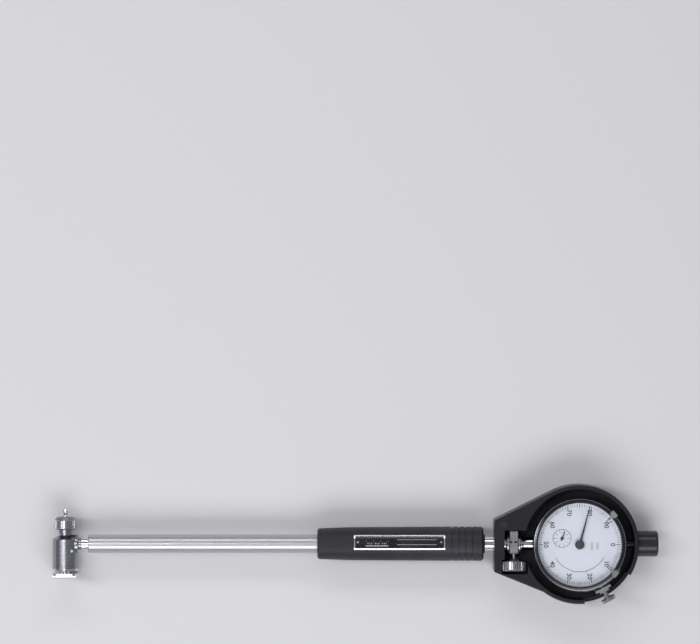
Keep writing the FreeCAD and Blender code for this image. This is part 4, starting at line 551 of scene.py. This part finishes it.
def new_piece(name, points, faces, material, slot, body, smooth=False):
    """A piece from an (n, 3) array of points and lists of faces, riding on a body."""
    mesh = bpy.data.meshes.new(name)
    mesh.from_pydata(np.asarray(points, float).reshape(-1, 3).tolist(), [], faces)
    mesh.validate()
    mesh.polygons.foreach_set("use_smooth", np.full(len(mesh.polygons), smooth))
    mesh.materials.append(material)
    piece = bpy.data.objects.new(name, mesh)
    bpy.context.scene.collection.objects.link(piece)
    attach(piece, body)
    print(name, "has", len(mesh.polygons), "faces")
    return piece


# %% Slabs of ink
INK = 0.02 * MM
SLAB_FACES = np.array(
    [(0, 3, 2, 1), (4, 5, 6, 7), (0, 1, 5, 4), (1, 2, 6, 5), (2, 3, 7, 6), (3, 0, 4, 7)]
)


def slabs(centres, angles, lengths, widths, foot, height=INK):
    """Closed bars of ink.

    Bar k is a rectangle with its middle at centres[k] and its length along angles[k]. Its
    corners are middle + u * length / 2 * (cos, sin) + v * width / 2 * (-sin, cos), with u
    and v each -1 or 1, at the heights foot and foot + height.
    """
    centres = np.asarray(centres, float).reshape(-1, 2)
    count = len(centres)
    angles = np.broadcast_to(np.asarray(angles, float), count)
    half = np.broadcast_to(np.asarray(lengths, float), count) / 2
    wide = np.broadcast_to(np.asarray(widths, float), count) / 2
    u = np.array([-1, 1, 1, -1])
    v = np.array([-1, -1, 1, 1])
    way = np.stack([np.cos(angles), np.sin(angles)], 1)
    side = np.stack([-way[:, 1], way[:, 0]], 1)
    flat = centres[:, None] + (half[:, None] * u)[..., None] * way[:, None]
    flat = flat + (wide[:, None] * v)[..., None] * side[:, None]
    low = np.concatenate([flat, np.full((count, 4, 1), foot)], 2)
    high = np.concatenate([flat, np.full((count, 4, 1), foot + height)], 2)
    points = np.concatenate([low, high], 1).reshape(-1, 3)
    faces = (SLAB_FACES[None] + 8 * np.arange(count)[:, None, None]).reshape(-1, 4)
    return points, faces.tolist()


def arc_band(centre, radius, width, start, end, foot, steps=96, height=INK):
    """A closed band of ink along an arc.

    Its points are centre + (radius +- width / 2) * (cos, sin) of angles from start to end.
    A full turn joins its last ring of four points to its first; an open arc is capped.
    """
    whole = abs(abs(end - start) - 2 * math.pi) < 1e-6
    angles = np.linspace(start, end, steps + 1)[: steps if whole else None]
    inner, outer = radius - width / 2, radius + width / 2
    rings = [(inner, foot), (outer, foot), (outer, foot + height), (inner, foot + height)]
    points = np.stack(
        [
            np.stack(
                [centre[0] + r * np.cos(angles), centre[1] + r * np.sin(angles),
                 np.full(len(angles), z)], 1,
            )
            for r, z in rings
        ], 1,
    )
    count = len(angles)
    here_ring = np.arange(count if whole else count - 1)
    next_ring = (here_ring + 1) % count
    faces = []
    for k in range(4):
        m = (k + 1) % 4
        quads = np.stack(
            [here_ring * 4 + k, here_ring * 4 + m, next_ring * 4 + m, next_ring * 4 + k], 1
        )
        faces += quads[:, ::-1].tolist() if end > start else quads.tolist()
    if not whole:
        caps = [[0, 1, 2, 3], [4 * count - 1, 4 * count - 2, 4 * count - 3, 4 * count - 4]]
        faces += caps if end > start else [cap[::-1] for cap in caps]
    return points.reshape(-1, 3), faces


def together(*parts):
    """Join (points, faces) pairs into one pair."""
    points, faces, start = [], [], 0
    for some_points, some_faces in parts:
        points.append(np.asarray(some_points, float).reshape(-1, 3))
        faces += [[start + k for k in face] for face in some_faces]
        start += len(points[-1])
    return np.concatenate(points), faces


# %% [markdown]
# The scale ring has a hundred lines, one for each hundredth of a millimetre. Every fifth
# is longer and every tenth is longer and bolder. The ring turns with the bezel, so its
# print rides on the same body.

# %% Scale lines
ink_foot = dial_face + 0.01 * MM
steps = np.arange(100)
step_angles = -2 * np.pi * steps / 100
tenth = steps % 10 == 0
fifth = (steps % 5 == 0) & ~tenth
outer_end = 24.5 * MM
inner_end = np.where(tenth, 22.2, np.where(fifth, 22.5, 22.9)) * MM
line_width = np.where(tenth, 0.46, np.where(fifth, 0.36, 0.26)) * MM
line_middle = (outer_end + inner_end) / 2
line_centres = line_middle[:, None] * np.stack([np.cos(step_angles), np.sin(step_angles)], 1)
scale_lines = new_piece(
    "scale_lines",
    *slabs(line_centres, step_angles, outer_end - inner_end, line_width, ink_foot),
    ink_black, "hand_black", "turning_bezel",
)

# %% [markdown]
# Figures come from Blender's own font. A text curve is filled and given its thickness,
# turned into a mesh, and then its points are moved as an array. The dial is read from the
# tube's side, so every figure's top points along +X.

# %% Text as arrays
def text_arrays(words, height, centre, foot, thickness=INK, bold=0.0):
    """Points and faces of a line of text, its top towards +X and its middle at centre.

    The text is laid out along x with its top along y, and (x, y) becomes (y, -x).
    """
    curve = bpy.data.curves.new("words", "FONT")
    curve.body = words
    curve.size = height / 0.69
    curve.extrude = thickness / 2
    curve.offset = bold
    curve.resolution_u = 3
    holder = bpy.data.objects.new("words", curve)
    bpy.context.scene.collection.objects.link(holder)
    bpy.context.view_layer.update()
    shape = bpy.data.meshes.new_from_object(
        holder.evaluated_get(bpy.context.evaluated_depsgraph_get())
    )
    points = np.empty(len(shape.vertices) * 3)
    shape.vertices.foreach_get("co", points)
    points = points.reshape(-1, 3)
    faces = [list(face.vertices) for face in shape.polygons]
    bpy.data.objects.remove(holder)
    bpy.data.curves.remove(curve)
    bpy.data.meshes.remove(shape)
    points[:, :2] -= (points[:, :2].min(0) + points[:, :2].max(0)) / 2
    turned = np.stack([points[:, 1], -points[:, 0], points[:, 2] + thickness / 2], 1)
    return turned + (*centre, foot), faces


# %% Figures of the main scale
figures = [
    text_arrays(
        str(10 * k), 2.7 * MM,
        (20.2 * MM * math.cos(-2 * math.pi * k / 10), 20.2 * MM * math.sin(-2 * math.pi * k / 10)),
        ink_foot, bold=0.08 * MM,
    )
    for k in range(10)
]
new_piece(
    "scale_figures", *together(*figures), ink_black, "hand_black", "turning_bezel"
)

# %% [markdown]
# The middle of the dial stays still when the bezel turns. It carries the small dial that
# counts whole turns, an arc that shows how far the hand swings on a ring gauge, and two
# pairs of plain lines where such dials have small print. No words are drawn there.

# %% Print on the fixed dial
counter_place = next(j["pos_m"] for j in frame["joints"] if j["name"] == "counter_turn")
counter_centre = np.array(counter_place[:2])
counter_angles = -2 * np.pi * np.arange(20) / 20
counter_long = np.arange(20) % 2 == 0
counter_inner = np.where(counter_long, 4.5, 4.9) * MM
counter_lines = slabs(
    counter_centre + ((5.4 * MM + counter_inner) / 2)[:, None]
    * np.stack([np.cos(counter_angles), np.sin(counter_angles)], 1),
    counter_angles, 5.4 * MM - counter_inner, np.where(counter_long, 0.28, 0.2) * MM, ink_foot,
)
counter_ring = arc_band(
    counter_centre, 5.5 * MM, 0.26 * MM, 0, 2 * math.pi, ink_foot, steps=72
)
counter_figures = [
    text_arrays(
        str(k), 0.95 * MM,
        counter_centre + 3.65 * MM * np.array([math.cos(-math.pi * k / 5), math.sin(-math.pi * k / 5)]),
        ink_foot, bold=0.03 * MM,
    )
    for k in range(10)
]
ARC_RADIUS = 16.4 * MM
swing_arc = [
    arc_band((0, 0), ARC_RADIUS, 0.3 * MM, math.radians(-152), math.radians(-104), ink_foot),
    arc_band((0, 0), ARC_RADIUS, 0.3 * MM, math.radians(-76), math.radians(-28), ink_foot),
]
bracket = slabs(
    [(0, -16.4 * MM), (-4.1 * MM, -16.1 * MM), (4.1 * MM, -16.1 * MM)],
    [0, math.pi / 2, math.pi / 2], [8.4 * MM, 0.9 * MM, 0.9 * MM], 0.32 * MM, ink_foot,
)
plain_lines = slabs(
    [(8.0 * MM, -0.9 * MM), (7.0 * MM, -0.9 * MM), (11.2 * MM, -0.9 * MM), (10.4 * MM, -0.9 * MM)],
    math.pi / 2, [5.0 * MM, 5.0 * MM, 4.0 * MM, 4.0 * MM], 0.25 * MM, ink_foot,
)
new_piece(
    "centre_print",
    *together(counter_lines, counter_ring, *counter_figures, *swing_arc, bracket, plain_lines),
    ink_black, "hand_black", "gauge",
)

# %% [markdown]
# The label is printed in white. It has a plain ruler at its left and two lines to write on
# at its right, and no words. The plate is curved, so the flat print is wrapped round the
# tube's axis: a point at height y on the flat print goes to the angle y / radius.

# %% Print on the label
label_radius = 9.95 * MM


def wrapped(points, faces):
    """Wrap a flat print round the grip.

    Point (x, y, z) goes to x along the tube, and to the angle y / R from straight up, plus
    the label's own turn, at the radius R + z.
    """
    angle = points[:, 1] / label_radius
    reach = label_radius + points[:, 2]
    turn = ROLL
    y = reach * np.sin(angle)
    z = reach * np.cos(angle)
    turned_y = y * math.cos(turn) - z * math.sin(turn)
    turned_z = y * math.sin(turn) + z * math.cos(turn) + tube_height
    return np.stack([points[:, 0] + label_middle, turned_y, turned_z], 1), faces


tick_steps = np.arange(13)
tick_heights = np.where(tick_steps % 4 == 0, 3.0, 1.8) * MM
tick_places = np.stack(
    [(-20.2 + 1.1 * tick_steps) * MM, -2.2 * MM + tick_heights / 2], 1
)
ruler_ticks = slabs(tick_places, math.pi / 2, tick_heights, 0.3 * MM, 0.01 * MM)
rules = slabs(
    [(-13.6 * MM, -2.3 * MM), (10.5 * MM, 1.5 * MM), (10.5 * MM, -1.5 * MM)],
    0, [13.6 * MM, 24 * MM, 24 * MM], [0.25 * MM, 0.16 * MM, 0.16 * MM], 0.01 * MM,
)
new_piece(
    "label_print", *together(wrapped(*ruler_ticks), wrapped(*rules)),
    ink_white, "label_black", "gauge",
)

# %% [markdown]
# The bench is a pale matt board, big enough to fill the view. The light is what a small
# product studio uses: one wide soft lamp on the contact side, a weaker one opposite, and
# an even grey surround.

# %% Bench
floor_mesh = bpy.data.meshes.new("bench")
reach = 4.0
floor_mesh.from_pydata(
    [(-reach, -reach, 0), (reach, -reach, 0), (reach, reach, 0), (-reach, reach, 0)],
    [], [(0, 1, 2, 3)],
)
floor = bpy.data.objects.new("bench", floor_mesh)
floor.location = (0, 0, -0.05 * MM)
bpy.context.scene.collection.objects.link(floor)
bench_board, tree, shader = finish("bench_board", (0.74, 0.74, 0.76), Roughness=0.85)
floor_mesh.materials.append(bench_board)

# %% Lamps and surround
middle_x = (cad_box[0][0] + cad_box[1][0]) / 2


def lamp(name, place, size, power, aim=(middle_x, 0, 0)):
    """A rectangular soft lamp at place, turned towards aim."""
    light = bpy.data.lights.new(name, "AREA")
    light.shape = "RECTANGLE"
    light.size, light.size_y = size
    light.energy = power
    holder = bpy.data.objects.new(name, light)
    holder.location = place
    way = np.array(aim) - np.array(place)
    holder.rotation_euler = bpy_direction(way)
    bpy.context.scene.collection.objects.link(holder)
    return holder


def bpy_direction(way):
    """The turn that points an object's -Z along way, with its X kept level."""
    return Vector(way).to_track_quat("-Z", "Y").to_euler()


lamp("wide_lamp", (middle_x + 0.15, -1.15, 1.25), (1.9, 0.8), 15)
lamp("back_lamp", (middle_x - 0.1, 1.3, 1.1), (1.6, 0.35), 5.5)
lamp("side_lamp", (middle_x - 0.75, 0.15, 1.5), (0.30, 1.2), 8)

world = bpy.data.worlds.new("studio")
world.use_nodes = True
world.node_tree.nodes["Background"].inputs["Color"].default_value = (0.93, 0.94, 1.0, 1)
world.node_tree.nodes["Background"].inputs["Strength"].default_value = 0.29
bpy.context.scene.world = world
bpy.context.scene.view_settings.view_transform = "Standard"

# %% [markdown]
# The camera hangs straight above the bench and looks down through a long lens, so the
# gauge is seen without slant. It is placed so that the gauge lies along the lower part of
# the picture.

# %% Camera
FRAME_WIDTH = 0.4235
camera_data = bpy.data.cameras.new("overhead_camera")
camera = bpy.data.objects.new("overhead_camera", camera_data)
camera.location = (-0.1389, 0.1347, 2.6)
camera_data.sensor_width = 36
camera_data.lens = 36 * (camera.location.z - dial_face) / FRAME_WIDTH
camera_data.clip_end = 20
bpy.context.scene.collection.objects.link(camera)
bpy.context.scene.camera = camera
print(f"lens {camera_data.lens:.0f} mm")
